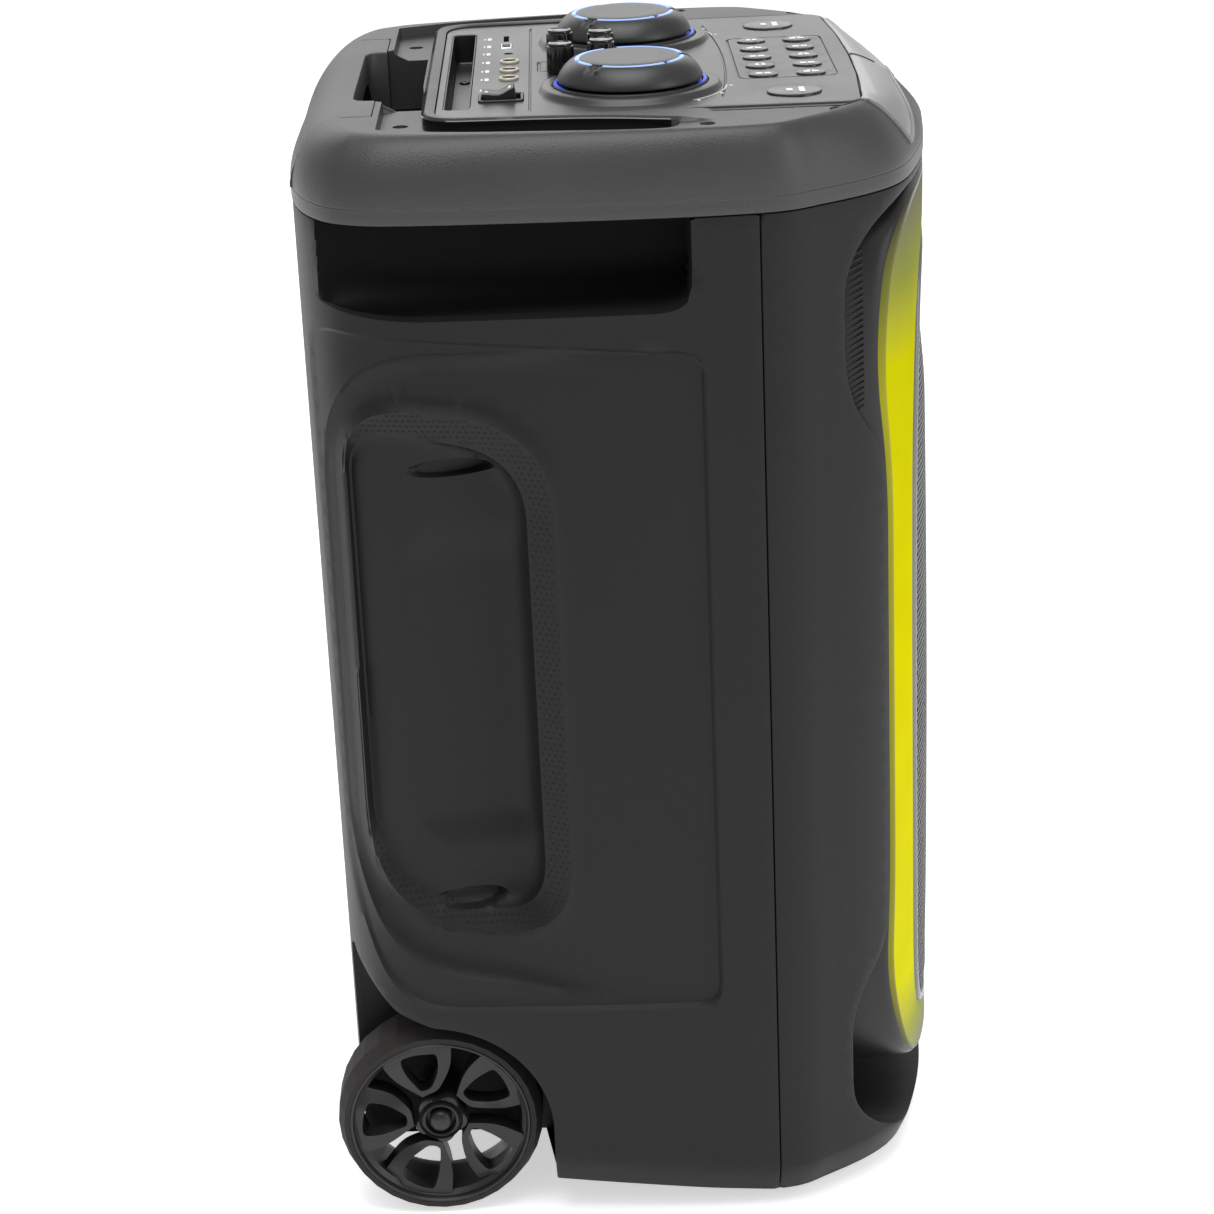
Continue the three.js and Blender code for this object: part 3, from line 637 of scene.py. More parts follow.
# ---- relief sheets ----
def relief(outer, holes, rings, points, keep_off):
    """Triangles over a flat area: loops cut it, rings shape its mesh, loose points keep off both."""
    fixed = np.vstack([outer] + list(holes) + list(rings))
    tree = KDTree(len(fixed))
    for i, (u, v) in enumerate(fixed):
        tree.insert((u, v, 0), i)
    tree.balance()
    points = np.asarray(points, float)
    clear = np.array([tree.find((u, v, 0))[2] > keep_off for u, v in points], bool)
    clear &= distance_inside(points, outer) > keep_off / 2
    for hole in holes:
        clear &= distance_inside(points, hole) < 0
    loops = [outer] + list(holes)
    lines = []
    for ring in rings:
        ring = np.asarray(ring, float)
        inside = distance_inside(ring, outer) > 0.02
        for hole in holes:
            inside &= distance_inside(ring, hole) < -0.02
        start = None
        for i, ok in enumerate(list(inside) + [False]):
            if ok and start is None:
                start = i
            if not ok and start is not None:
                if i - start > 1:
                    lines.append(ring[start:i])
                start = None

    def keep(c):
        ok = distance_inside(c, outer) > 0
        for hole in holes:
            ok &= distance_inside(c, hole) < 0
        return ok

    return triangulate(loops, points[clear], keep, lines)


def closed_line(loop):
    """The loop as a line that ends at its first point."""
    return np.vstack([loop, loop[:1]])


def circle(cx, cy, radius, count=40):
    a = np.linspace(0, 2 * math.pi, count, endpoint=False)
    return np.column_stack([cx + radius * np.cos(a), cy + radius * np.sin(a)])


def round_box(x0, x1, y0, y1, radius, step=4.0):
    pts = []
    for cx, cy, start in ((x1 - radius, y1 - radius, 0), (x0 + radius, y1 - radius, 90),
                          (x0 + radius, y0 + radius, 180), (x1 - radius, y0 + radius, 270)):
        for k in range(5):
            a = math.radians(start + 22.5 * k)
            pts.append((cx + radius * math.cos(a), cy + radius * math.sin(a)))
    out = []
    n = len(pts)
    for i in range(n):
        a, b = np.array(pts[i]), np.array(pts[(i + 1) % n])
        cuts = max(1, int(np.linalg.norm(b - a) / step))
        out.extend(a + (b - a) * k / cuts for k in range(cuts))
    return np.array(out)


def box_loop(low, high, grow, radius, step):
    """Rounded outline of a node's box seen from above, grown on all sides."""
    return round_box(low[0] - grow, high[0] + grow, low[1] - grow, high[1] + grow, radius, step)


# ---- rear shell ----
PANEL_CURVE = resample(rounded(PANEL_LOOP), 3.5)
ARCH_CURVE = resample(rounded(ARCH_LOOP), 3.5)
RIM_CURVE = resample(rounded(RIM_LOOP), 2.6)
INNER_CURVE = resample(rounded(INNER_LOOP), 2.6)
FINGER_LENSES = (
    (WHEEL_Y - 30, WHEEL_Z + 422, 26, 5.4, 8.0), (WHEEL_Y - 28, WHEEL_Z + 152, 22, 6.0, 7.0))


def wheel_arch():
    """Arc over the wheel from its front side to its top, then a slope to the back."""
    a = np.radians(np.linspace(180, 90, 25))
    radius = WHEEL_Y - ARCH_FRONT
    arc = np.column_stack([WHEEL_Y + radius * np.cos(a), WHEEL_Z + radius * np.sin(a)])
    top = WHEEL_Z + radius
    return resample(np.vstack([[ARCH_FRONT, 30], arc, [WHEEL_Y + 22, top + 7.6], [BACK_Y - 6, top + 32.5]]),
                    3.0, False)


ARCH_LINE = wheel_arch()


def recess_edge(y):
    pts = rounded(RECESS_EDGE)
    return np.interp(y, pts[:, 0], pts[:, 1])


def dish_depth(y):
    return 2.0 + 6.0 * ramp(y, -5, 105)


def side_depth(y, z):
    """How far the side face lies inside the body outline, for points on the side."""
    p = np.column_stack([y, z])
    depth = 3.4 * ramp(distance_inside(p, PANEL_CURVE), 0.0, 3.2)
    arch = distance_inside(p, ARCH_CURVE)
    sweep = ramp(y, WHEEL_Y - 133, WHEEL_Y - 23)
    depth = depth + sweep * (4.5 * ramp(arch, 0.0, 11.0) + 2.4 * ramp(arch, 0, 2.0))
    rim = distance_inside(p, RIM_CURVE)
    inner = distance_inside(p, INNER_CURVE)
    dish = dish_depth(y)
    across = np.clip(rim / np.maximum(rim - np.minimum(inner, 0), 0.1), 0, 1)
    lip = (1.0 + 2.4 * sweep) * np.exp(-((rim + 1.2) / 3.0) ** 2)
    band = dish - 1.0 - 2.2 * sweep + 7.2 * across + 2.2 * sweep * across
    depth = np.where(rim > 0, band, depth - lip)
    shoulder = dish + 6.2
    (front, low), (rear, high) = INNER_CURVE.min(axis=0), INNER_CURVE.max(axis=0)
    floor = 31 - 21 * ramp(y, front + 14, rear + 3)
    floor = floor - 6.0 * ramp(low - z, -60, -36) - 4.0 * ramp(z - high, -82, -54)
    wall = np.clip(1 - inner / 17.0, 0, 1)
    pocket = shoulder + np.maximum(floor - shoulder, 1.2) * np.sqrt(np.maximum(0, 1 - wall**2.2))
    depth = np.where(inner > 0, pocket, depth)
    for cy, cz, ry, rz, deep in FINGER_LENSES:
        lens = 1 - np.sqrt(((y - cy) / ry) ** 2 + ((z - cz) / rz) ** 2)
        tilt = np.clip(0.5 - (y - cy) / (2.2 * ry), 0, 1)
        depth = depth + deep * ramp(lens, 0.0, 0.25) * (0.4 + 0.6 * tilt)
    return depth


def recess_depth(y, z, x_out):
    """Depth of the grip recess under the cap."""
    reach = np.maximum(np.abs(x_out) - (BODY_X - 36.7), 0)
    up = np.clip((z - recess_edge(y)) / 26.0, 0, 1)
    return reach * np.sqrt(np.maximum(0, 1 - (1 - up) ** 2)) * ramp(y, SEAM_Y + 38.2, SEAM_Y + 39.6)


def bottom_z(y):
    """Height of the body's lower edge."""
    return np.interp(y, [-300, SEAM_Y, 60, 300], [11, 11.3, 26, 30])


def body_inset(z, y):
    """Inset of the bevel along the bottom and of the softened top edge."""
    low = bottom_z(y)
    bevel = 6.5 * np.clip((low + 19 - z) / 19.0, 0, 1) ** 1.25
    return bevel + roll_off(BODY_TOP - z, 1.0)


def to_s(loop_yz, side):
    loop = np.asarray(loop_yz, float)
    return np.column_stack([side * s_of_y(loop[:, 0]), loop[:, 1]])


def well_loop(side):
    s_back = s_of_x_rear(WELL_X)
    front, back_z = s_of_y(ARCH_FRONT), ARCH_LINE[-1][1] + 1
    pts = [(front, -20), (front, 33)]
    pts += [(s_of_y(y), z) for y, z in ARCH_LINE if z > 35 and y < BACK_Y - 6.5]
    pts += [(s_back, back_z), (s_back, 100), (s_back, -20)]
    pts = np.array(pts, float)
    pts[:, 0] *= side
    return resample(pts, 4.0)


def back_depth(x, z):
    """Shallow framed field on the flat back."""
    frame = distance_inside(np.column_stack([x, z]), BACK_FIELD)
    return 1.8 * ramp(frame, 0, 2.5)


BACK_FIELD = round_box(-BODY_X / 2 + 5, BODY_X / 2 - 5, BODY_LOW_Z + 139, BODY_TOP - 35, 14, 6)


def turned_in(verts, flat, tris, seam, at_bottom, hole_wall):
    """Turns the edges of a shell's sheet into the body: at the seam, the top, the bottom and its holes."""
    kinds = {"seam": [], "top": [], "bottom": [], "hole": []}
    for i, j in boundary_edges(tris):
        mid = (flat[i] + flat[j]) / 2
        if mid[1] > BODY_TOP - 0.2:
            kinds["top"].append((i, j))
        elif abs(mid[0]) > seam - 0.1:
            kinds["seam"].append((i, j))
        elif at_bottom(mid):
            kinds["bottom"].append((i, j))
        else:
            kinds["hole"].append((i, j))
    faces = [tuple(t) for t in tris]
    moves = {"seam": lambda p: p * [0.965, 1, 1], "top": lambda p: towards_middle(p, 5),
             "bottom": lambda p: towards_middle(p, 8), "hole": hole_wall}
    for kind, move in moves.items():
        verts, faces = add_skirt(verts, faces, kinds[kind], move)
    return verts, faces


def build_rear_shell():
    s_seam = float(s_of_y(SEAM_Y + 0.15))
    wells = [well_loop(side) for side in (-1, 1)]
    rings = []
    for side in (-1, 1):
        for loop, offsets in ((PANEL_CURVE, (0, -2.5, -5)), (ARCH_CURVE, (0, -2.2, -7, -13)),
                              (RIM_CURVE, (6, 3, 1.2, -0.8)), (INNER_CURVE, (0.3, -1.2, -4, -8, -12.5, -17))):
            for d in offsets:
                ring = offset_loop(loop, d)
                rings.append(closed_line(to_s(ring, side)) if ring[:, 0].min() > -58 else
                             to_s(np.roll(ring, -int(np.argmin(ring[:, 0])) - 1, axis=0), side))
        for cy, cz, ry, rz, _ in FINGER_LENSES:
            for k in (1.0, 0.87, 0.74):
                ellipse = circle(0, 0, 1, 40) * (k * ry, k * rz) + (cy, cz)
                rings.append(closed_line(to_s(ellipse, side)))
        for lift in (-1.5, 0, 1.0, 3.0, 6.5, 11.5, 18, 26):
            y = np.linspace(SEAM_Y + 38.4, BACK_Y - 12, 76)
            rings.append(to_s(np.column_stack([y, np.minimum(recess_edge(y) + lift, BODY_TOP - 0.4)]), side))
        for y in (SEAM_Y + 38.1, SEAM_Y + 38.9, SEAM_Y + 39.8):
            rings.append(to_s(upright(y, np.linspace(RECESS_Z + 24, BODY_TOP - 1.2, 16)), side))
    for d in (0.5, 1.3):
        rings.extend(closed_line(offset_loop(w, d)) for w in wells)
    a = np.linspace(-s_seam, s_seam, 260)
    yy = outline_at(a)[:, 1]
    for up in (5.0, 12.0, 19.0):
        rings.append(np.column_stack([a[1:-1], (bottom_z(yy) + up)[1:-1]]))
    for z in (BODY_TOP - 0.4, BODY_TOP - 1.1):
        rings.append(level(a[1:-1], z))
    for d in (0.4, 1.2):
        for sgn in (-1, 1):
            rings.append(upright(sgn * (s_seam - d), np.linspace(BODY_LOW_Z + 2, BODY_TOP - 1, 120)))
    for d in (0, -2.5):
        edge = offset_loop(BACK_FIELD, d)
        edge[:, 0] = np.sign(edge[:, 0]) * s_of_x_rear(np.abs(edge[:, 0]))
        rings.append(closed_line(edge))
    side_z = np.linspace(float(bottom_z(SEAM_Y)), BODY_TOP, 120)[1:-1]
    outer = np.vstack([np.column_stack([a, bottom_z(yy)]),
                       upright(s_seam, side_z), level(a[::-1], BODY_TOP), upright(-s_seam, side_z[::-1])])
    loose = [grid_points(-s_seam + 2, s_seam - 2, BODY_LOW_Z + 2, BODY_TOP - 3, 8.0)]
    pocket_low, pocket_high = INNER_CURVE.min(axis=0), INNER_CURVE.max(axis=0)
    for side in (-1, 1):
        g = grid_points(pocket_low[0], pocket_high[0], pocket_low[1], pocket_high[1], 4.5)
        loose.append(to_s(g[distance_inside(g, INNER_CURVE) > 1], side))
        g = grid_points(SEAM_Y + 40, BACK_Y - 16, RECESS_Z + 7, BODY_TOP - 3, 5.0)
        loose.append(to_s(g, side))
    flat, tris = relief(outer, wells, rings, np.vstack(loose), 2.4)
    tris = tris[:, [0, 2, 1]]
    s, z = flat[:, 0], flat[:, 1]
    xy = outline_at(s)
    side = np.where(s < 0, -1.0, 1.0)
    well_d = np.maximum(distance_inside(flat, wells[0]), distance_inside(flat, wells[1]))
    inset = body_inset(z, xy[:, 1]) + roll_off(s_seam - np.abs(s), 1.2) + roll_off(-well_d, 1.3)
    on_side = (np.abs(xy[:, 0]) > BODY_X / 2) & (xy[:, 1] < BACK_Y - 6)
    depth = np.where(on_side, side_depth(xy[:, 1], z), 0)
    depth = np.maximum(depth, np.where(z > RECESS_Z - 8, recess_depth(xy[:, 1], z, xy[:, 0]), 0))
    verts = np.column_stack([xy[:, 0] - side * depth, xy[:, 1], z])
    verts[:, :2] -= outline_normal(s) * inset[:, None]
    back = xy[:, 1] > BACK_Y - 4
    verts[back, 1] -= back_depth(xy[back, 0], z[back])

    def at_bottom(mid):
        return abs(mid[1] - bottom_z(outline_at([mid[0]])[0, 1])) < 0.6

    def to_well_wall(p):
        return np.column_stack([np.sign(p[:, 0]) * WELL_X, p[:, 1], p[:, 2]])

    verts, faces = turned_in(verts, flat, tris, s_seam, at_bottom, to_well_wall)
    piece = mesh_piece("rear_shell_moulding", verts, faces, "cabinet", "cabinet_plastic", SHELL,
                       ("rear_shell",), solid=2.4)
    # Painted shade: faces inside the grip recess get the darkened, duller copy of the shell plastic.
    piece.data.materials.append(SHELL_PAINTED_SHADE)
    mid = np.array([tuple(face.center) for face in piece.data.polygons]) / MM
    wall_x = np.interp(-mid[:, 1], -OUTLINE[SIDE_PART][:, 1], OUTLINE[SIDE_PART][:, 0])
    inside = (mid[:, 2] > recess_edge(mid[:, 1]) + 1) & (mid[:, 1] > SEAM_Y + 39.8)
    inside &= (recess_depth(mid[:, 1], mid[:, 2], wall_x) > 0.5) & (mid[:, 1] < BACK_Y - 1)
    for face, deep in zip(piece.data.polygons, inside):
        face.material_index = int(deep)
    plates = []
    for side in (-1, 1):
        wall = list(map(tuple, ARCH_LINE)) + [(BACK_Y - 5, ARCH_LINE[-1][1] + 2), (BACK_Y - 5, 31),
                                              (ARCH_FRONT + 1, 27)]
        x = side * (WELL_X - 0.2)
        plates.append(slab(resample(np.array(wall, float), 6), "x", min(x, x - side * 2.5),
                           max(x, x - side * 2.5)))
    half = [(x, y) for x, y in OUTLINE if y > SEAM_Y + 1]
    plan = np.array(half + [(0, SEAM_Y + 1)], float)
    plan = offset_loop(resample(mirror_half(plan), 8), -7.5)
    plan = np.array([(np.sign(x) * min(abs(x), WELL_X - 1), y) if y > 57 else (x, y) for x, y in plan])
    flat, tris = triangulate([plan], [], lambda c: distance_inside(c, plan) > 0)
    base = np.column_stack([flat, bottom_z(flat[:, 1]) + 1.0])
    plates.append((base, [tuple(t[::-1]) for t in tris]))
    mesh_piece("rear_shell_well_walls", *join(plates), "cabinet", "cabinet_plastic", SHELL)


# Points that edges are turned in towards: the body's middle from above, and the front's middle.
BODY_MIDDLE = (0.0, 20.0)
FRONT_MIDDLE = (0.0, 320.0)


def towards_middle(points, distance):
    d = np.array(BODY_MIDDLE) - points[:, :2]
    d /= np.linalg.norm(d, axis=1)[:, None]
    moved = points.copy()
    moved[:, :2] += d * distance
    return moved


def side_points(side, y, z):
    """Points and outward normals on the rear shell's side face."""
    def at(yy, zz):
        x = np.abs(outline_at(side * s_of_y(yy))[:, 0]) - side_depth(yy, zz)
        return np.column_stack([side * x, yy, zz])
    p = at(y, z)
    n = np.cross(at(y + 0.5, z) - p, at(y, z + 0.5) - p)
    n /= np.linalg.norm(n, axis=1)[:, None]
    return p, n * np.sign(n[:, :1] * side)


def dots(points, normals, radius, height):
    """Low six-sided bumps standing on a surface."""
    u = np.cross(normals, (0, 0, 1))
    u /= np.linalg.norm(u, axis=1)[:, None]
    v = np.cross(normals, u)
    rings = []
    for r, lift in ((radius, -0.2), (radius * 0.55, height)):
        for a in np.linspace(0, 2 * math.pi, 6, endpoint=False):
            rings.append(points + r * (math.cos(a) * u + math.sin(a) * v) + lift * normals)
    verts = np.stack(rings, axis=1).reshape(-1, 3)
    one = [(k, (k + 1) % 6, 6 + (k + 1) % 6, 6 + k) for k in range(6)]
    one += [tuple(range(6, 12)), tuple(range(5, -1, -1))]
    return verts, [tuple(i + 12 * k for i in face) for k in range(len(points)) for face in one]


# Front, rear, low and high limits of the dots.
DOT_FIELD = (36, 164, 188, 528)


def build_band_dots():
    """Moulded dots on the sloping band round each side pocket."""
    grid = grid_points(*DOT_FIELD, 3.6)
    rim, inner = distance_inside(grid, RIM_CURVE), distance_inside(grid, INNER_CURVE)
    grid = grid[(rim > 2.2) & (inner < -2.0)]
    parts = [dots(*side_points(side, grid[:, 0], grid[:, 1]), 1.15, 0.45) for side in (-1, 1)]
    mesh_piece("rear_shell_grip_dots", *join(parts), "cabinet", "cabinet_plastic", SHELL)


# ---- front shell ----
def fitted_half(corners, half_width, low, high):
    return fit(rounded(corners, 12), (0, low), (half_width, high))


MOUTH = resample(mirror_half(fitted_half(MOUTH_HALF, BAFFLE_HIGH[0] + 1.5, BODY_LOW_Z + 9, BODY_TOP - 4)),
                 3.2)
RING_OUTER_LINE = fitted_half(RING_OUTER_HALF, HOUSING_HIGH[0], HOUSING_LOW[2], HOUSING_HIGH[2])
RING_INNER_LINE = fitted_half(RING_INNER_HALF, BEZEL_HIGH[0], BEZEL_LOW[2], BEZEL_HIGH[2])
RING_OUTER = resample(mirror_half(RING_OUTER_LINE), 4)
FLOOR_Y = BAFFLE_Y - 3


def build_front_shell():
    t_seam = float(OUT_LEN - s_of_y(SEAM_Y - 0.15))

    def to_t(loop_xz):
        loop = np.asarray(loop_xz, float)
        return np.column_stack([np.sign(loop[:, 0]) * (OUT_LEN - s_of_x_front(np.abs(loop[:, 0]))),
                                loop[:, 1]])

    mouth = to_t(MOUTH)
    mouth = mouth[np.r_[True, np.linalg.norm(np.diff(mouth, axis=0), axis=1) > 0.5]]
    low = BODY_LOW_Z
    across = np.linspace(-t_seam, t_seam, 200)
    up = np.linspace(low, BODY_TOP, 120)[1:-1]
    outer = np.vstack([level(across, low), upright(t_seam, up),
                       level(across[::-1], BODY_TOP), upright(-t_seam, up[::-1])])
    rings = [closed_line(offset_loop(mouth, d)) for d in (0.5, 1.4)]
    for z in (low + 2, low + 6, low + 12, low + 18.4, low + 19.4, BODY_TOP - 0.4, BODY_TOP - 1.1):
        rings.append(level(across[1:-1], z))
    for d in (0.4, 1.2):
        for sgn in (-1, 1):
            rings.append(upright(sgn * (t_seam - d), up))
    flat, tris = relief(outer, [mouth], rings, grid_points(-t_seam + 2, t_seam - 2, 14, 628, 8.0), 2.6)
    t, z = flat[:, 0], flat[:, 1]
    s = np.where(t < 0, -1, 1) * (OUT_LEN - np.abs(t))
    xy = outline_at(s)
    mouth_d = -distance_inside(flat, mouth)
    bevel = 7.5 * np.clip((low + 19 - z) / 19.0, 0, 1) ** 1.3
    inset = bevel + roll_off(BODY_TOP - z, 1.0) + roll_off(t_seam - np.abs(t), 1.2) + roll_off(mouth_d, 1.4)
    normal = outline_normal(np.clip(s, -OUT_LEN + 2, OUT_LEN - 2))
    verts = np.column_stack([xy - normal * inset[:, None], z])
    # The t axis runs the other way round from s, so the faces already point outwards.
    verts, faces = turned_in(verts, flat, tris, t_seam, lambda mid: mid[1] < low + 0.2, to_floor)
    mesh_piece("front_shell_moulding", verts, faces, "cabinet", "cabinet_plastic", SHELL, ("front_shell",),
               solid=1.6)
    plan = [(x, y) for x, y in OUTLINE if y < SEAM_Y - 1]
    plan = mirror_half([(0, SEAM_Y - 1)] + plan)
    plan = offset_loop(resample(plan, 8), -7.0)
    flat, tris = triangulate([plan], [], lambda c: distance_inside(c, plan) > 0)
    base = level(flat, low + 0.6)
    mesh_piece("front_shell_base", base, [tuple(f[::-1]) for f in tris], "cabinet", "cabinet_plastic", SHELL,
               solid=2.0)


def to_floor(points):
    """Leans the mouth's wall in to the floor of the corner hollows."""
    moved = points.copy()
    d = np.array(FRONT_MIDDLE) - points[:, [0, 2]]
    d /= np.linalg.norm(d, axis=1)[:, None]
    moved[:, 0] += 1.5 * d[:, 0]
    moved[:, 2] += 1.5 * d[:, 1]
    moved[:, 1] = np.maximum(FLOOR_Y, points[:, 1] + 4)
    return moved


def build_hollow_floor():
    """Floor of the hollows between mouth and ring housing."""
    outer = offset_loop(MOUTH, -0.2)
    hole = offset_loop(RING_OUTER, -3)
    grid = grid_points(-178, 178, 18, 630, 8)
    flat, tris = relief(outer, [hole], [], grid, 3)
    verts = np.column_stack([flat[:, 0], np.full(len(flat), FLOOR_Y), flat[:, 1]])
    mesh_piece("front_shell_hollow_floor", verts, [tuple(f[::-1]) for f in tris], "cabinet",
               "cabinet_plastic", SHELL, solid=1.0)


# ---- ring and grille ----
def ring_loops(count=260):
    """Matching points on the ring's outer and inner outlines, from the bottom middle round."""
    out = []
    for curve in (RING_OUTER_LINE, RING_INNER_LINE):
        length = np.r_[0, np.cumsum(np.linalg.norm(np.diff(curve, axis=0), axis=1))]
        key = np.interp(np.linspace(0, 1, count // 2 + 1), length / length[-1], np.arange(len(curve)))
        half_pts = np.column_stack([np.interp(key, np.arange(len(curve)), curve[:, k]) for k in (0, 1)])
        left = half_pts[1:-1][::-1] * (-1, 1)
        out.append(np.vstack([half_pts, left]))
    return out


def sweep_ring(rows):
    """Closed strip through rows of matching points; rows are (n, 3) arrays."""
    n = len(rows[0])
    verts = np.vstack(rows)
    faces = []
    for r in range(len(rows) - 1):
        for k in range(n):
            j = (k + 1) % n
            faces.append((r * n + k, (r + 1) * n + k, (r + 1) * n + j, r * n + j))
    return verts, faces


def ring_row(outer, inner, f, depth):
    p = outer + (inner - outer) * f
    return np.column_stack([p[:, 0], front_y(p[:, 0]) + depth, p[:, 1]])


def closed_ring(rows):
    """Closed tube through rows of matching points."""
    return sweep_ring(rows + rows[:1])


def build_ring():
    outer, inner = ring_loops()
    profile = [(0.0, 6.0), (0.0, 1.3), (0.004, 0.4), (0.012, 0.05), (0.055, 0.0), (0.065, 0.25), (0.075, 0.0),
               (0.25, 0.0), (0.45, 0.1), (0.65, 0.3), (0.8, 0.8), (0.9, 1.7), (0.97, 3.2), (1.0, 6.0)]
    cut = 5
    edge = [ring_row(outer, inner, f, d) for f, d in profile[:cut + 1]]
    edge += [ring_row(outer, inner, f, d) for f, d in ((0.065, 3.0), (0.03, 6.0))]
    mesh_piece("ring_lens_edge", *closed_ring(edge), "cabinet", "lit_lens", LENS_EDGE, (), angle=50)
    face = [ring_row(outer, inner, f, d) for f, d in profile[cut:]]
    face += [ring_row(outer, inner, f, d) for f, d in ((0.97, 6.6), (0.5, 4.0), (0.075, 3.0))]
    mesh_piece("ring_lens_face", *closed_ring(face), "cabinet", "lit_lens", LENS, ("ring_lens",), angle=50)
    build_housing(outer, inner)
    # Bezel round the grille: (growth of the outline, depth behind the front face).
    rows = []
    for grow, depth in ((-0.3, 8.0), (-0.3, 1.6), (-0.9, 0.6), (-2.2, 0.0), (-3.6, 0.1), (-4.8, 0.9),
                        (-5.0, 2.4), (-5.0, 9.0)):
        q = offset_loop(inner, grow)
        rows.append(np.column_stack([q[:, 0], front_y(q[:, 0]) + depth, q[:, 1]]))
    mesh_piece("grille_bezel_ring", *closed_ring(rows), "cabinet", "bezel_plastic", BEZEL, ("grille_bezel",),
               angle=50)


def build_housing(outer, inner):
    """Dark carrier of the lens: its side wall runs back to the hollows' floor."""
    rows = []
    for grow, depth in ((0.2, 1.4), (1.2, 1.8), (2.2, 3.0), (3.0, 5.5), (4.2, 14.0)):
        p = offset_loop(outer, grow)
        rows.append(np.column_stack([p[:, 0], np.minimum(front_y(p[:, 0]) + depth, FLOOR_Y - 2), p[:, 1]]))
    for grow, y in ((5.0, FLOOR_Y + 1), (1.0, FLOOR_Y + 1)):
        p = offset_loop(outer, grow)
        rows.append(np.column_stack([p[:, 0], np.full(len(p), y), p[:, 1]]))
    rows.append(ring_row(outer, inner, 0.02, 7.5))
    v, f = closed_ring(rows)
    inside = [ring_row(outer, inner, share, d) for share,
              d in ((0.97, 7.5), (1.0, 7.5), (1.0, 14.0), (0.97, 14.0))]
    parts = [(v, [tuple(q[::-1]) for q in f]), closed_ring(inside)]
    # Slanting ribs on the wall beside the two upper hollows.
    line = RING_OUTER_LINE
    up = line[np.argmax(line[:, 0] > 100):]
    for side in (-1, 1):
        for z in np.arange(HOUSING_HIGH[2] - 122, HOUSING_HIGH[2] - 30, 3.6):
            x = float(np.interp(z, up[:, 1], up[:, 0])) + 3.4
            front, rear = FLOOR_Y - 15, FLOOR_Y - 2
            rib = [(front, z + 3.5), (rear, z - 3.5), (rear, z - 2.1), (front, z + 4.9)]
            parts.append(slab(rib, "x", min(side * x, side * (x + 1.2)), max(side * x, side * (x + 1.2))))
    mesh_piece("ring_housing_wall", *join(parts), "cabinet", "cabinet_plastic", SATIN, ("ring_housing",),
               angle=50)


def build_grille():
    edge = resample(offset_loop(ring_loops()[1], -5.2), 4.0)
    pitch, hole = 4.7, 1.72
    row_gap = pitch * math.sqrt(3) / 2
    z0, z1 = edge[:, 1].min(), edge[:, 1].max()
    centres = []
    for r in range(int((z1 - z0) / row_gap) + 2):
        for x in np.arange(-110 + (r % 2) * pitch / 2, 112, pitch):
            centres.append((x, z0 + r * row_gap))
    centres = np.array(centres)
    centres = centres[distance_inside(centres, edge) > hole + 1.6]
    # Each cell is a hexagon with a hexagonal hole; neighbours share corners.
    cell = pitch / math.sqrt(3)
    verts, faces, index = [], [], {}

    def corner(x, z):
        key = (round(x * 20), round(z * 20))
        if key not in index:
            index[key] = len(verts)
            verts.append((x, z))
        return index[key]

    angles = [math.radians(30 + 60 * k) for k in range(6)]
    for x, z in centres:
        rim = [corner(x + cell * math.cos(a), z + cell * math.sin(a)) for a in angles]
        gap = list(range(len(verts), len(verts) + 6))
        verts.extend((x + hole * math.cos(a), z + hole * math.sin(a)) for a in angles)
        faces.extend((rim[k], rim[(k + 1) % 6], gap[(k + 1) % 6], gap[k]) for k in range(6))
    flat = np.array(verts)
    # Plain margin between the cells and the edge, on the cells' own corners.
    count = {}
    for f in faces:
        key = (min(f[0], f[1]), max(f[0], f[1]))
        count[key] = count.get(key, 0) + 1
    border = [k for k, c in count.items() if c == 1]
    ids = sorted({i for pair in border for i in pair})
    start = len(edge)
    where = {i: start + k for k, i in enumerate(ids)}
    lines = [(i, (i + 1) % start) for i in range(start)] + [(where[a], where[b]) for a, b in border]
    points = [Vector(p) for p in edge] + [Vector(flat[i]) for i in ids]
    v2, _, t2, origin, *_ = delaunay_2d_cdt(points, lines, [], 0, 1e-4, True)
    v2 = np.array([tuple(v) for v in v2])
    t2 = np.array([t for t in t2 if len(t) == 3])
    tree = KDTree(len(centres))
    for i, (x, z) in enumerate(centres):
        tree.insert((x, z, 0), i)
    tree.balance()
    mids = v2[t2].mean(axis=1)
    near = np.array([hex_inside(m, centres[tree.find((m[0], m[1], 0))[1]], cell) for m in mids])
    t2 = t2[(distance_inside(mids, edge) > 0) & ~near]
    back = {start + k: i for k, i in enumerate(ids)}
    to_flat = {}
    extra = []
    for new, old in enumerate(origin):
        shared = [back[o] for o in old if o in back]
        if shared:
            to_flat[new] = shared[0]
        else:
            to_flat[new] = len(flat) + len(extra)
            extra.append(v2[new])
    flat = np.vstack([flat, extra])
    faces += [tuple(to_flat[int(i)] for i in t) for t in t2]
    # Bowed sheet: proud over its long middle, falling back towards the top.
    bow_r = 290.0
    bow_y = GRILLE_LOW[1] + bow_r
    tall = z1 - z0
    share = (flat[:, 1] - z0) / tall
    fall = 5.0 * np.clip(1 - distance_inside(flat, edge) / 9.0, 0, 1) ** 2
    crown = 1.6 * np.sin(np.pi * np.clip((share - 0.06) / 0.8, 0, 1)) ** 0.7
    recede = 5.0 * ramp(share, 0.8, 0.98)
    y = bow_y - np.sqrt(bow_r**2 - flat[:, 0] ** 2) + 1.2 + fall - crown + recede
    mesh_piece("front_grille_sheet", np.column_stack([flat[:, 0], y, flat[:, 1]]), faces, "cabinet",
               "grille_metal", GRILLE, ("front_grille",), angle=40, solid=1.0)


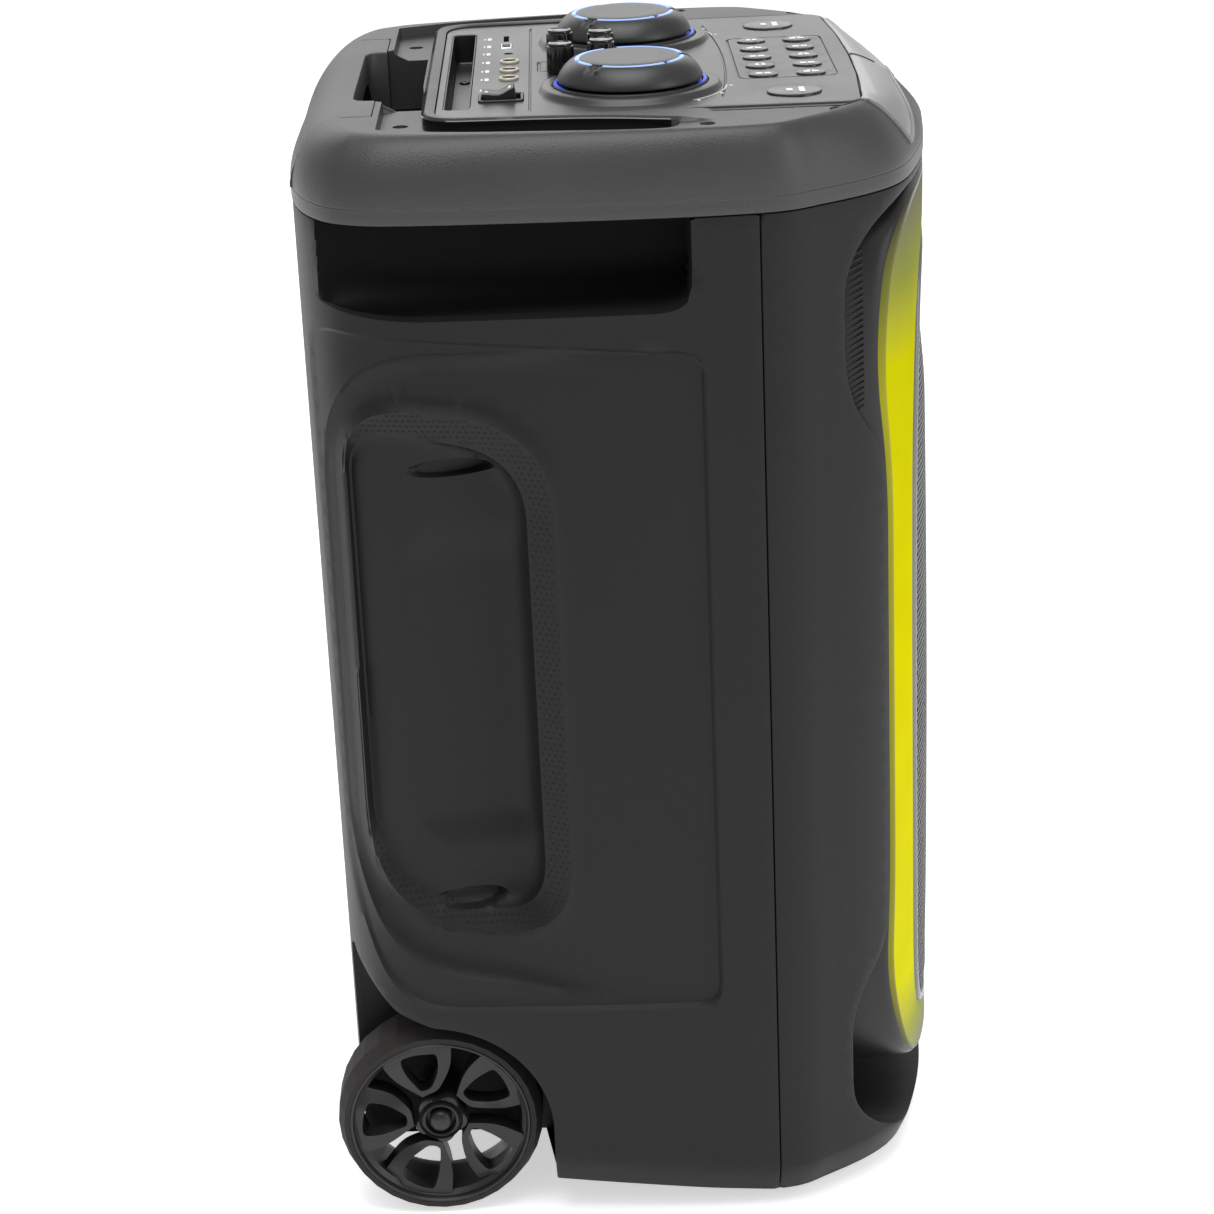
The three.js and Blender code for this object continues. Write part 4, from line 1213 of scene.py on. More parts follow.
def hex_inside(p, c, cell):
    dx, dz = abs(p[0] - c[0]), abs(p[1] - c[1])
    return dx < cell * math.sqrt(3) / 2 - 1e-3 and dx / math.sqrt(3) + dz < cell - 1e-3


# ---- cap ----
def crease_line():
    """The deck's edge: the body outline moved in by the rounding's reach."""
    reach = catmull(np.column_stack([ROUNDING_REACH, ROUNDING_REACH]), 14)[:, :1]
    line = OUTLINE - outline_normal(OUT_S) * reach
    line[0, 0] = line[-1, 0] = 0
    return line


CREASE = crease_line()
DECK_EDGE = np.vstack([CREASE, (CREASE[1:-1] * (-1, 1))[::-1]])
STEP_Z = BAND_Z - 1.0
STEP_DEEP = 0.3


def cap_exponent(n_y):
    return 2.0 - 0.6 * np.clip(-n_y, 0, 1) ** 2 - 0.25 * np.clip(n_y, 0, 1) ** 2


def rounding(base, deck, angle):
    """Points of the rounding, from the wall (angle 0) up to the deck's edge (a quarter turn)."""
    lean = base - deck
    power = cap_exponent(lean[:, 1] / np.linalg.norm(lean, axis=1))
    inwards = 1 - np.maximum(np.cos(angle), 0) ** (2 / power)
    upwards = np.sin(angle) ** (2 / power)
    p = base + (deck - base) * np.broadcast_to(inwards, len(base))[:, None]
    return np.column_stack([p, BAND_Z + 0.4 + (DECK_Z - BAND_Z - 0.4) * upwards])


def cap_skin():
    """The cap's band and rounding, from the bottom edge to the deck's edge."""
    out = offset_loop(np.vstack([OUTLINE, (OUTLINE[1:-1] * (-1, 1))[::-1]]), 0.4)
    rows = []
    for inset, z in ((4.0, CAP_BOTTOM), (0.9, CAP_BOTTOM), (0.25, CAP_BOTTOM + 0.35), (0.0, CAP_BOTTOM + 1.1),
                     (0.0, CAP_BOTTOM + 4.6), (0.0, STEP_Z), (STEP_DEEP, STEP_Z + 0.25),
                     (STEP_DEEP, STEP_Z + 0.85), (0.1, BAND_Z + 0.1)):
        rows.append(level(offset_loop(out, -inset), z))
    base = offset_loop(out, -0.1)
    for angle in np.linspace(0, math.pi / 2, 21):
        rows.append(rounding(base, DECK_EDGE, angle))
    verts, faces = sweep_ring(rows)
    turning = np.sum(out[:, 0] * np.roll(out[:, 1], -1) - np.roll(out[:, 0], -1) * out[:, 1])
    return verts, [tuple(f[::-1]) for f in faces] if turning > 0 else faces


def bisected(verts, faces, planes, keep):
    """Cuts a mesh by planes x = c and keeps the faces whose centre passes keep(centre)."""
    bm = bmesh.new()
    made = [bm.verts.new(v) for v in verts]
    for f in faces:
        try:
            bm.faces.new([made[i] for i in f])
        except ValueError:
            pass
    for x in planes:
        bmesh.ops.bisect_plane(bm, geom=bm.verts[:] + bm.edges[:] + bm.faces[:], plane_co=(x, 0, 0),
                               plane_no=(1, 0, 0), dist=1e-4)
    gone = [f for f in bm.faces if not keep(f.calc_center_median())]
    bmesh.ops.delete(bm, geom=gone, context="FACES")
    bm.verts.index_update()
    out_v = np.array([tuple(v.co) for v in bm.verts])
    out_f = [tuple(v.index for v in f.verts) for f in bm.faces]
    bm.free()
    return out_v, out_f


PANEL_PLAN = fitted_half(PANEL_HALF, PANEL_HIGH[0], PANEL_LOW[1], PANEL_HIGH[1])
PANEL_PLAN = resample(mirror_half(PANEL_PLAN), 3.0)
RIM_PLAN = resample(mirror_half(rounded(RIM_HALF)), 3.0)
LEDGES = [resample(rounded(LEDGE) * (sx, 1), 3.0) for sx in (-1, 1)]
SCREWS = [(sx * x, y) for sx in (-1, 1) for x, y in (
    (GRIP_X, GRIP_LOW[1] - 16), (CAP_HIGH[0] - 23, KNOB_Y - 39), (CAP_HIGH[0] - 48, CAP_LOW[1] + 65))]


def deck_height(p):
    rim = distance_inside(p, RIM_PLAN)
    ledge = np.maximum(distance_inside(p, LEDGES[0]), distance_inside(p, LEDGES[1]))
    low = np.minimum(ledge, -rim)
    fade = 1 - ramp(-p[:, 1], 24 - KNOB_Y, 46 - KNOB_Y)
    z = DECK_Z - (DECK_Z - LEDGE_Z) * ramp(low, -0.1, 0.7)
    z = z + (RIM_Z - z) * ramp(rim, -0.5, 1.3) * fade
    for x, y in SCREWS:
        d = np.hypot(p[:, 0] - x, p[:, 1] - y)
        z = z - 3.5 * (1 - ramp(d, 3.7, 4.4))
    return z


def build_cap():
    skin_v, skin_f = cap_skin()
    cap_v, cap_f = bisected(skin_v, skin_f, (-GRIP_X - 0.15, GRIP_X + 0.15),
                            lambda c: abs(c.x) > GRIP_X + 0.15 or c.y < MID_Y)
    right = [(x, y) for x, y in CREASE if x > GRIP_X + 0.15 or y < MID_Y]
    edge_y = float(np.interp(GRIP_X + 0.15, CREASE[:40, 0], CREASE[:40, 1]))
    front, seat, pocket_x = GRIP_LOW[1] - 26.6, GRIP_LOW[1] - 0.3, GRIP_X - 43.1
    half = [(0, front), (40, front), (pocket_x, front), (pocket_x, front + 14), (pocket_x, seat), (100, seat),
            (GRIP_X + 0.15, seat), (GRIP_X + 0.15, seat + 10), (GRIP_X + 0.15, edge_y)] + right
    outer = mirror_half(half)
    rings = []
    for d in (0.5, 0, -1.3, -4, -8):
        rings.append(closed_line(offset_loop(RIM_PLAN, d)))
    for ledge in LEDGES:
        for d in (0.1, -0.3, -0.8):
            rings.append(closed_line(offset_loop(ledge, d)))
    for x, y in SCREWS:
        for r in (3.6, 4.05, 4.5):
            rings.append(closed_line(circle(x, y, r, 24)))
    hole = offset_loop(PANEL_PLAN, 0.35)
    loose = grid_points(CAP_LOW[0] + 12, CAP_HIGH[0] - 12, CAP_LOW[1] + 42, CAP_HIGH[1] - 29, 6)
    flat, tris = relief(outer, [hole], rings, loose, 2.2)
    z = deck_height(flat)
    panel_edge = -distance_inside(flat, hole)
    z = z - roll_off(panel_edge, 0.9)
    verts = np.column_stack([flat, z])
    faces = [tuple(f) for f in tris]
    inner_edges, notch_edges = [], []
    for i, j in boundary_edges(tris):
        mid = (flat[i] + flat[j]) / 2
        if abs(distance_inside([mid], hole)[0]) < 0.3:
            inner_edges.append((i, j))
        elif abs(mid[0]) < GRIP_X + 0.3 and MID_Y < mid[1] < GRIP_LOW[1] + 23:
            notch_edges.append((i, j))
    verts, faces = add_skirt(verts, faces, inner_edges,
                             lambda q: level(q[:, :2], DECK_Z - 6))
    verts, faces = add_skirt(verts, faces, notch_edges,
                             lambda q: level(q[:, :2], GRIP_LOW[2] + 0.7))
    verts, faces = join([(cap_v, cap_f), (verts, faces)])
    piece = mesh_piece("top_cap_moulding", verts, faces, "cabinet", "cabinet_plastic", CAP_ABS, ("top_cap",),
                       angle=40, solid=1.4)
    # Floor and side walls of the handle's seat.
    seat_x, seat_y, seat_z = GRIP_X + 0.1, GRIP_LOW[1] - 0.3, GRIP_LOW[2] - 0.3
    floor_half = [(0, seat_y - 26.7), (seat_x, seat_y - 26.7), (seat_x, seat_y + 43.3), (100, seat_y + 46.3),
                  (0, seat_y + 46.3)]
    floor = resample(mirror_half(floor_half), 8)
    tubes = [centre("handle_tube_inner_" + side) for side in ("left", "right")]
    holes = [circle(x, y, 12, 40) for x, y, _ in tubes]
    loose = grid_points(-seat_x + 2, seat_x - 2, seat_y - 25, seat_y + 43, 10)
    flat, tris = relief(floor, holes, [], loose, 3)
    seat = (level(flat, seat_z), [tuple(f) for f in tris])
    parts = [seat]
    for sx in (-1, 1):
        wall = [(seat_y, seat_z), (seat_y, DECK_Z - 1.6), (seat_y + 21, DECK_Z - 1.6),
                (seat_y + 29, DECK_Z - 4.5),
                (seat_y + 37, DECK_Z - 11), (seat_y + 43, DECK_Z - 19), (seat_y + 47, DECK_Z - 28),
                (seat_y + 49, seat_z + 3), (seat_y + 49, seat_z)]
        x = sx * (GRIP_X + 0.15)
        parts.append(slab(wall, "x", min(x, x + sx * 1.2), max(x, x + sx * 1.2)))
    mesh_piece("top_cap_handle_seat", *join(parts), "cabinet", "cabinet_plastic", CAP_ABS)
    return piece


def build_grip():
    skin_v, skin_f = cap_skin()
    skin_v, skin_f = bisected(skin_v, skin_f, (-GRIP_X, GRIP_X), lambda c: abs(c.x) < GRIP_X and c.y > MID_Y)
    edge_y = float(np.interp(GRIP_X, CREASE[:40, 0], CREASE[:40, 1]))
    tab, bar = GRIP_LOW[1], GRIP_LOW[1] + 13.2
    half = [(0, bar), (60, bar), (68, bar - 0.4), (72.5, bar - 2.7), (74.5, bar - 7), (75, tab + 0.3),
            (76, tab), (90, tab),
            (119.5, tab), (121.2, tab + 0.7), (GRIP_X, tab + 2.5), (GRIP_X, tab + 12), (GRIP_X, edge_y)]
    rear = [(x, y) for x, y in CREASE if x < GRIP_X and y > MID_Y][::-1]
    right = half + [p for p in rear if p[0] > 0]
    outer = np.vstack([right, [(0, rear[-1][1])], (np.array(right) * (-1, 1))[::-1][:-1]])
    keep = np.r_[True, np.linalg.norm(np.diff(outer, axis=0), axis=1) > 0.05]
    outer = outer[keep]
    rings = [closed_line(offset_loop(outer, d)) for d in (-0.5, -1.3)]
    flat, tris = relief(outer, [], rings, grid_points(-GRIP_X + 2, GRIP_X - 2, tab + 1, tab + 19, 5), 2.2)
    front = distance_inside(flat, outer)
    rim = np.where(flat[:, 1] < tab + 18.5, roll_off(front, 1.3), 0) * (np.abs(flat[:, 0]) < GRIP_X - 0.4)
    z = DECK_Z - rim
    verts = np.column_stack([flat, z])
    faces = [tuple(f) for f in tris]
    down = []
    for i, j in boundary_edges(tris):
        mid = (flat[i] + flat[j]) / 2
        if mid[1] < edge_y - 0.3:
            down.append((i, j))
    verts, faces = add_skirt(verts, faces, down, lambda q: np.column_stack(
        [q[:, 0] * 0.999, q[:, 1], np.where(np.abs(q[:, 0]) < 70, DECK_Z - 18, GRIP_LOW[2] + 1.7)]))
    under_half = [(0, bar), (70, bar), (70, tab + 39), (0, tab + 39)]
    under = resample(mirror_half(under_half), 6)
    uf, ut = triangulate([under], [], lambda c: distance_inside(c, under) > 0)
    underside = (level(uf, DECK_Z - 18), [tuple(f[::-1]) for f in ut])
    posts = [slab(round_box(min(a, b), max(a, b), GRIP_LOW[1] + 1, GRIP_LOW[1] + 27, 3), "z",
                  GRIP_LOW[2] + 0.3, DECK_Z - 10)
             for a, b in ((2.2 - GRIP_X, -76), (76, GRIP_X - 2.2))]
    mesh_piece("handle_grip_moulding", *join([(skin_v, skin_f), (verts, faces), underside] + posts), "handle",
               "cabinet_plastic", CAP_ABS, ("handle_grip",), angle=40, solid=1.2)


def skin_points(s, angle, lift):
    """Points over the cap's rounding, lifted off it; s runs along the body outline from the back's middle."""
    def at(s_, angle_):
        base = outline_at(s_) + outline_normal(s_) * 0.3
        a = np.abs(s_)
        deck = np.column_stack([np.interp(a, OUT_S, CREASE[:, 0]) * np.sign(s_),
                                np.interp(a, OUT_S, CREASE[:, 1])])
        return rounding(base, deck, np.clip(angle_, 1e-3, math.pi / 2))
    s, angle = np.asarray(s, float), np.asarray(angle, float)
    p = at(s, angle)
    low, high = np.maximum(angle - 0.02, 2e-3), np.minimum(angle + 0.02, math.pi / 2)
    up = at(s, high) - at(s, low)
    along = at(s + 1.0, angle) - at(s - 1.0, angle)
    normal = np.cross(along, up)
    normal /= np.linalg.norm(normal, axis=1)[:, None] + 1e-12
    normal *= np.where(normal[:, 2:] < 0, -1, 1)
    return p + normal * lift


def closed_strip(rows):
    """Closed tube with capped ends through open rows of matching points."""
    count, n = len(rows), len(rows[0])
    faces = [(r * n + k, ((r + 1) % count) * n + k, ((r + 1) % count) * n + k + 1, r * n + k + 1)
             for r in range(count) for k in range(n - 1)]
    faces.append(tuple(r * n for r in range(count))[::-1])
    faces.append(tuple(r * n + n - 1 for r in range(count)))
    return np.vstack(rows), faces


def build_front_trim():
    """Glossy crescent let into the cap's front rounding, with a light lip along its outer edge."""
    tip_x, corner_x = TRIM_HIGH[0] - 26, TRIM_HIGH[0] + 10
    tip_angle, middle_angle = math.radians(11), math.radians(47)
    s_corner = float(s_of_x_front(corner_x))
    away = np.linspace(-1, 1, 181)
    s = np.sign(away) * (OUT_LEN - (OUT_LEN - s_corner) * np.abs(away))
    s[90] = OUT_LEN
    x = np.abs(outline_at(s)[:, 0])
    near = np.clip((x - tip_x) / (corner_x - tip_x), 0, 1)
    far = np.clip(1 - x / tip_x, 0, 1)
    low = tip_angle + (middle_angle - tip_angle) * ramp(far, -0.35, 1.0)
    low = low + (math.pi / 2 - 0.02 - tip_angle) * near
    high = np.full(len(s), math.pi / 2 - 0.01)
    rows = []
    for share, lift in ((0.0, -1.2), (0.0, 0.1), (0.03, 0.6), (0.08, 0.85), (0.25, 0.9), (0.45, 0.9),
                        (0.65, 0.9), (0.85, 0.85), (0.95, 0.6), (1.0, 0.1), (1.0, -1.2), (0.5, -1.4)):
        rows.append(skin_points(s, low + (high - low) * share, lift))
    mesh_piece("front_trim_crescent", *closed_strip(rows), "cabinet", "gloss_plastic", TRIM, ("front_trim",),
               angle=50)
    rows = []
    for shift, lift in ((-0.04, -0.6), (-0.045, 0.6), (-0.03, 1.25), (0.02, 1.35), (0.035, 0.9),
                        (0.03, -0.6)):
        rows.append(skin_points(s[6:-6], np.minimum(low[6:-6] + shift, math.pi / 2), lift))
    mesh_piece("front_trim_lip", *closed_strip(rows), "cabinet", "bezel_plastic", TRIM_LIP, angle=60)


# ---- console ----
BUTTON_NODES = ["mode_button_1", "mode_button_2"] + ["button_%d" % i for i in range(1, 11)]
JACK_NODES = ["jack_1", "jack_2", "jack_3"]


def round_place(node):
    """Centre and radius of an upright turned node."""
    low, high = box_mm(node)
    x, y = (low + high)[:2] / 2
    return x, y, (high[0] - low[0]) / 2


BUTTONS = [round_place(node) for node in BUTTON_NODES]
JACKS = [round_place(node) for node in JACK_NODES]
SLOT = round_box(-GRIP_X + 3.7, GRIP_X - 3.7, PANEL_HIGH[1] - 19.5, PANEL_HIGH[1] - 4, 4.5, 3)
AUX = (USB_LOW[0] - 18, PORT_Y + 1)
CARD_SLOT = (USB_HIGH[0] + 9, USB_HIGH[0] + 28, PORT_Y + 1, PORT_Y + 4.4)
SMALL_SLOT = (JACKS[0][0] - 36.5, JACKS[0][0] - 27.5, PORT_Y - 1, PORT_Y + 2.6)
ROW_X = BUTTONS[-1][0] + 10.5
ROW_BACK, ROW_FRONT = BUTTONS[2][1] + 14.7, BUTTONS[-1][1] - 14.8


def open_line(points):
    return resample(np.array(points, float), 2.5, False)


# Grooves in the panel: (line, half width), the last one closed.
GROOVES = [
    (open_line([(-KNOB_X - 52, PORT_Y - 12.5), (KNOB_X + 52, PORT_Y - 12.5)]), 0.6),
    (open_line([(-15, KNOB_Y - 31), (-15, KNOB_Y - 37), (15, KNOB_Y - 37), (15, KNOB_Y - 31)]), 0.9),
    (open_line([(-15, KNOB_Y + 48), (-15, KNOB_Y + 53), (15, KNOB_Y + 53), (15, KNOB_Y + 48)]), 0.9),
    (open_line([(x, ROW_BACK + 6 + 6.5 * (x / KNOB_X) ** 2 / 2.2)
                for x in np.linspace(-1.48, 1.48, 40) * KNOB_X]), 0.6),
    (resample(round_box(-ROW_X - 0.4, ROW_X + 0.4, ROW_FRONT, ROW_BACK, 6), 2.5), 0.55),
]


def line_distance(p, line):
    best = np.full(len(p), 1e9)
    a, b = line[:-1], line[1:]
    for (ax, ay), (bx, by) in zip(a, b):
        ex, ey = bx - ax, by - ay
        t = np.clip(((p[:, 0] - ax) * ex + (p[:, 1] - ay) * ey) / (ex * ex + ey * ey + 1e-9), 0, 1)
        best = np.minimum(best, np.hypot(p[:, 0] - ax - t * ex, p[:, 1] - ay - t * ey))
    return best


def panel_height(p):
    z = np.full(len(p), PANEL_Z)
    z = z - roll_off(distance_inside(p, PANEL_PLAN), 1.0)
    for i, (line, half) in enumerate(GROOVES):
        line = closed_line(line) if i == 4 else line
        z = z - 0.8 * (1 - ramp(line_distance(p, line), half * 0.55, half * 1.3))
    for sx in (-1, 1):
        d = np.hypot(p[:, 0] - sx * KNOB_X, p[:, 1] - KNOB_Y)
        z = np.where(d < 54, np.maximum(z, PANEL_Z + 3.5 * ramp(-d, -53.2, -51.0)), z)
        z = z - 1.2 * ramp(d, 41.4, 41.8) * (1 - ramp(d, 45.2, 45.6))
    slot = distance_inside(p, SLOT)
    z = z - 18.5 * ramp(slot, 0.0, 1.2) - roll_off(-slot, 0.8) * (slot < 0)
    return z


def build_console():
    holes = [circle(x, y, r + 0.35, 40 if r > 10 else 28) for x, y, r in BUTTONS]
    holes += [circle(x, y, r + 0.3, 28) for x, y, r in JACKS]
    holes.append(box_loop(USB_LOW, USB_HIGH, 0.2, 0.6, 3))
    holes.append(box_loop(ROCKER_LOW, ROCKER_HIGH, 0.2, 1.2, 4))
    holes.append(circle(*AUX, 2.2, 20))
    holes += [round_box(*CARD_SLOT, 0.8, 3), round_box(*SMALL_SLOT, 0.8, 3)]
    rings = []
    for i, (line, half) in enumerate(GROOVES):
        for d in (-1.3, -0.55, 0.55, 1.3):
            if i == 4:
                rings.append(closed_line(offset_loop(line, d * half)))
            else:
                g = np.gradient(line, axis=0)
                g /= np.linalg.norm(g, axis=1)[:, None]
                rings.append(line + np.column_stack([-g[:, 1], g[:, 0]]) * d * half)
    for sx in (-1, 1):
        for r in (53.4, 52.6, 51.6, 50.6, 45.7, 45.1, 41.9, 41.3):
            rings.append(closed_line(circle(sx * KNOB_X, KNOB_Y, r, 96)))
    for d in (0.8, 0.3, 0, -0.7, -1.3):
        rings.append(closed_line(offset_loop(SLOT, d)))
    for d in (-0.4, -1.1):
        rings.append(closed_line(offset_loop(PANEL_PLAN, d)))
    loose = grid_points(PANEL_LOW[0] + 1, PANEL_HIGH[0] - 1, PANEL_LOW[1], PANEL_HIGH[1], 5.5)
    flat, tris = relief(PANEL_PLAN, holes, rings, loose, 1.6)
    z = panel_height(flat)
    for x, y, r in BUTTONS:
        d = np.hypot(flat[:, 0] - x, flat[:, 1] - y)
        z = z - roll_off(np.abs(d - r - 0.35), 0.5) * (d < r + 1)
    verts = np.column_stack([flat, z])
    edges = boundary_edges(tris)
    verts, faces = add_skirt(verts, [tuple(f) for f in tris], edges, lambda q: q - [0, 0, 4.0])
    mesh_piece("console_panel_moulding", verts, faces, "cabinet", "satin_plastic", CONSOLE,
               ("console_panel",), angle=35, solid=1.0)
    loop = offset_loop(SLOT, -0.3)
    rows = [(PANEL_Z - 0.4, 0.0), (PANEL_Z - 17.5, 0.4), (PANEL_Z - 18.6, 1.2)]
    wall = sweep_ring([level(offset_loop(loop, -inset), z) for z, inset in rows])
    flat, tris = triangulate([offset_loop(loop, -1.2)], [], lambda c: distance_inside(c, loop) > 0)
    floor = (level(flat, PANEL_Z - 18.6), [tuple(t) for t in tris])
    mesh_piece("console_panel_slot_liner", *join([wall, floor]), "cabinet", "satin_plastic", SATIN, angle=30,
               solid=0.6)
    # Dark cup under each small opening, so that no hole looks into the body.
    low = PANEL_Z - 11
    cups = [lathe([(0, low), (3, low), (3, PANEL_Z), (2.3, PANEL_Z)], (*AUX, 0), segments=28)]
    for x0, x1, y0, y1 in (CARD_SLOT, SMALL_SLOT):
        loop = round_box(x0 - 0.4, x1 + 0.4, y0 - 0.4, y1 + 0.4, 0.8, 3)
        v, f = sweep_ring([level(loop, z) for z in (PANEL_Z - 1, low + 1)])
        cups.append((v, f))
        cups.append(slab(loop, "z", low, low + 1))
    mesh_piece("console_panel_cups", *join(cups), "cabinet", "satin_plastic", DARK, angle=30)
    # Painted shade: dark slabs on the deck beside the panel stand for the shaded slits, and a gloss black band
    # stands for the shade on the raised rim's wall.
    parts = []
    for sx in (-1, 1):
        slit = [(sx * (KNOB_X + 66.6), KNOB_Y - 30), (sx * (KNOB_X + 70.4), KNOB_Y - 30),
                (sx * (KNOB_X + 71.2), KNOB_Y - 116), (sx * (KNOB_X + 67.2), KNOB_Y - 120)]
        parts.append(slab(slit, "z", DECK_Z - 0.5, DECK_Z + 0.25))
    mesh_piece("top_cap_side_slit_painted_shade", *join(parts), "cabinet", "gloss_plastic", DARK)
    line = RIM_PLAN[RIM_PLAN[:, 1] > KNOB_Y - 22]
    line = np.roll(line, -int(np.argmax(np.linalg.norm(np.diff(line, axis=0), axis=1))) - 1, axis=0)
    side = np.gradient(line, axis=0)
    side = np.column_stack([side[:, 1], -side[:, 0]]) / np.linalg.norm(side, axis=1)[:, None]
    side *= np.sign(np.sum(side * line, axis=1))[:, None]
    # Painted shade: the gloss black strip over the rim's wall stands for the wall's shade.
    rows = []
    for out, z in ((0.05, LEDGE_Z - 0.3), (0.75, LEDGE_Z - 0.3), (0.75, RIM_Z - 1.6), (0.3, RIM_Z - 1.1),
                   (0.0, RIM_Z - 1.6)):
        rows.append(level(line + side * out, z))
    mesh_piece("top_cap_rim_painted_shade_band", *closed_strip(rows), "cabinet", "gloss_plastic", GLOSS, angle=40)


def mark_slab(x0, x1, y0, y1, z):
    return slab([(x0, y0), (x1, y0), (x1, y1), (x0, y1)], "z", z - 0.1, z + 0.12)


def arc_row(cx, cy, radius, a, z):
    return np.column_stack([cx + radius * np.cos(a), cy + radius * np.sin(a), np.full(len(a), z)])


def arc_band(cx, cy, radius, wide, start, stop, z):
    """Thin flat arc printed on a level face; angles in degrees."""
    a = np.radians(np.linspace(start, stop, max(4, int(abs(stop - start) / 4))))
    far = radius + wide
    section = ((radius, z - 0.1), (radius, z + 0.12), (far, z + 0.12), (far, z - 0.1))
    return closed_strip([arc_row(cx, cy, r, a, h) for r, h in section])


def build_marks():
    """Small white signs printed on the console: plain bars, arcs and squares."""
    z = PANEL_Z + 0.02
    parts = []
    ports = [(CARD_SLOT[0] + CARD_SLOT[1]) / 2, (USB_LOW[0] + USB_HIGH[0]) / 2, AUX[0]]
    ports += [x for x, _, _ in JACKS] + [(SMALL_SLOT[0] + SMALL_SLOT[1]) / 2]
    for x in ports:
        parts.append(mark_slab(x - 3.8, x + 3.8, PORT_Y + 12.0, PORT_Y + 14.4, z))
        parts.append(mark_slab(x - 2.4, x + 2.4, PORT_Y + 15.6, PORT_Y + 16.6, z))
    for sx in (-1, 1):
        cx = sx * KNOB_X
        middle = 270 + 28 * sx
        parts.append(arc_band(cx, KNOB_Y, 55.4, 0.6, middle - 24, middle + 24, z))
        for k in range(3):
            a = math.radians(middle + 22 * (k - 1))
            x, y = cx + 58.2 * math.cos(a), KNOB_Y + 58.2 * math.sin(a)
            parts.append(mark_slab(x - 1.0, x + 1.0, y - 1.0, y + 1.0, z))
    for i in range(1, 5):
        x, y, _ = round_place("level_knob_%d" % i)
        x += math.copysign(14.2, x)
        parts.append(mark_slab(x - 2.2, x + 2.2, y - 1.2, y + 1.2, z))
    mesh_piece("console_panel_white_marks", *join(parts), "cabinet", "bezel_plastic", WHITE)


def arc_tube(cx, cy, profile, start, stop):
    """Closed tube along an arc; the profile is (radius, height), the angles are in degrees."""
    a = np.radians(np.linspace(start, stop, max(6, int((stop - start) / 3))))
    return closed_strip([arc_row(cx, cy, r, a, z) for r, z in profile])


def build_volume_knob(side):
    node = "volume_knob_" + side
    low, high = box_mm(node)
    cx, cy, base = round_place(node)
    z0, z1 = low[2], high[2]
    profile = [(0, z0 + 0.8)]
    profile += shifted([(-1, 0.8), (-0.1, 1.3), (0, 2.4), (-0.8, 4.4), (-2, 6.6), (-3.4, 8.6), (-5.1, 10.4),
                        (-7.1, 12.0), (-8.6, 12.9)], base, z0)
    profile += shifted([(-9.6, -0.5), (-10.2, -0.5), (-10.4, -1.0), (-12.9, -1.0), (-13.1, -0.4),
                        (-13.7, -0.1), (-22, -0.05)], base, z1)
    profile.append((0, z1))
    v, f = lathe(profile, (cx, cy, 0), segments=128)
    rel = v[:, :2] - (cx, cy)
    turn = np.degrees(np.arctan2(rel[:, 1], rel[:, 0]))
    away = np.hypot(rel[:, 0], rel[:, 1])
    for where in KNOB_NOTCHES:
        apart = np.abs((turn - where + 180) % 360 - 180)
        v[:, 2] -= 2.2 * (1 - ramp(apart, 3.0, 7.5)) * ramp(away, 29.2, 31) * (1 - ramp(away, 33.5, 40))
    mesh_piece(node + "_body", v, f, node, "satin_plastic", KNOB, (node,), angle=30)
    guide = shifted([(-10.3, -1.2), (-10.3, -0.5), (-10.9, -0.15), (-11.7, -0.05), (-12.5, -0.15),
                     (-13.0, -0.5), (-13.0, -1.2)], base, z1)
    arcs = [arc_tube(cx, cy, guide, start, stop) for start, stop in KNOB_ARCS]
    mesh_piece(node + "_light_arcs", *join(arcs), node, "blue_light", BLUE_TOP, angle=60)
    a = math.radians(147)
    place = np.array([[cx + (base - 5.4) * math.cos(a), cy + (base - 5.4) * math.sin(a), z1 - 3.0]])
    mesh_piece(node + "_pointer", *dots(place, np.array([[-0.5, 0.3, 0.81]]), 1.6, 0.5), node,
               "gloss_plastic", GLOSS)


def build_knob_light(side):
    """Dark ring at the knob's foot, with its light guide showing at the front and the rear."""
    node = "knob_light_" + side
    low, high = box_mm(node)
    cx, cy, r = round_place(node)
    profile = [(r - 2.9, low[2] + 0.4), (r, low[2] + 0.4), (r - 0.1, high[2] - 0.1), (r - 0.8, high[2] + 0.4),
               (r - 2.4, high[2] + 0.4), (r - 2.9, high[2] - 0.1)]
    mesh_piece(node + "_ring", *lathe(profile, (cx, cy, 0), segments=128, closed=True), "cabinet",
               "satin_plastic", DARK, (node,), angle=50)
    glow = [(r - 2.5, high[2] - 0.2), (r - 0.9, high[2] - 0.2), (r - 0.9, high[2] + 0.6),
            (r - 2.5, high[2] + 0.6)]
    arcs = [arc_tube(cx, cy, glow, middle - 26, middle + 26) for middle in (90, 270)]
    mesh_piece(node + "_lit_arcs", *join(arcs), "cabinet", "blue_light", BLUE, angle=60)


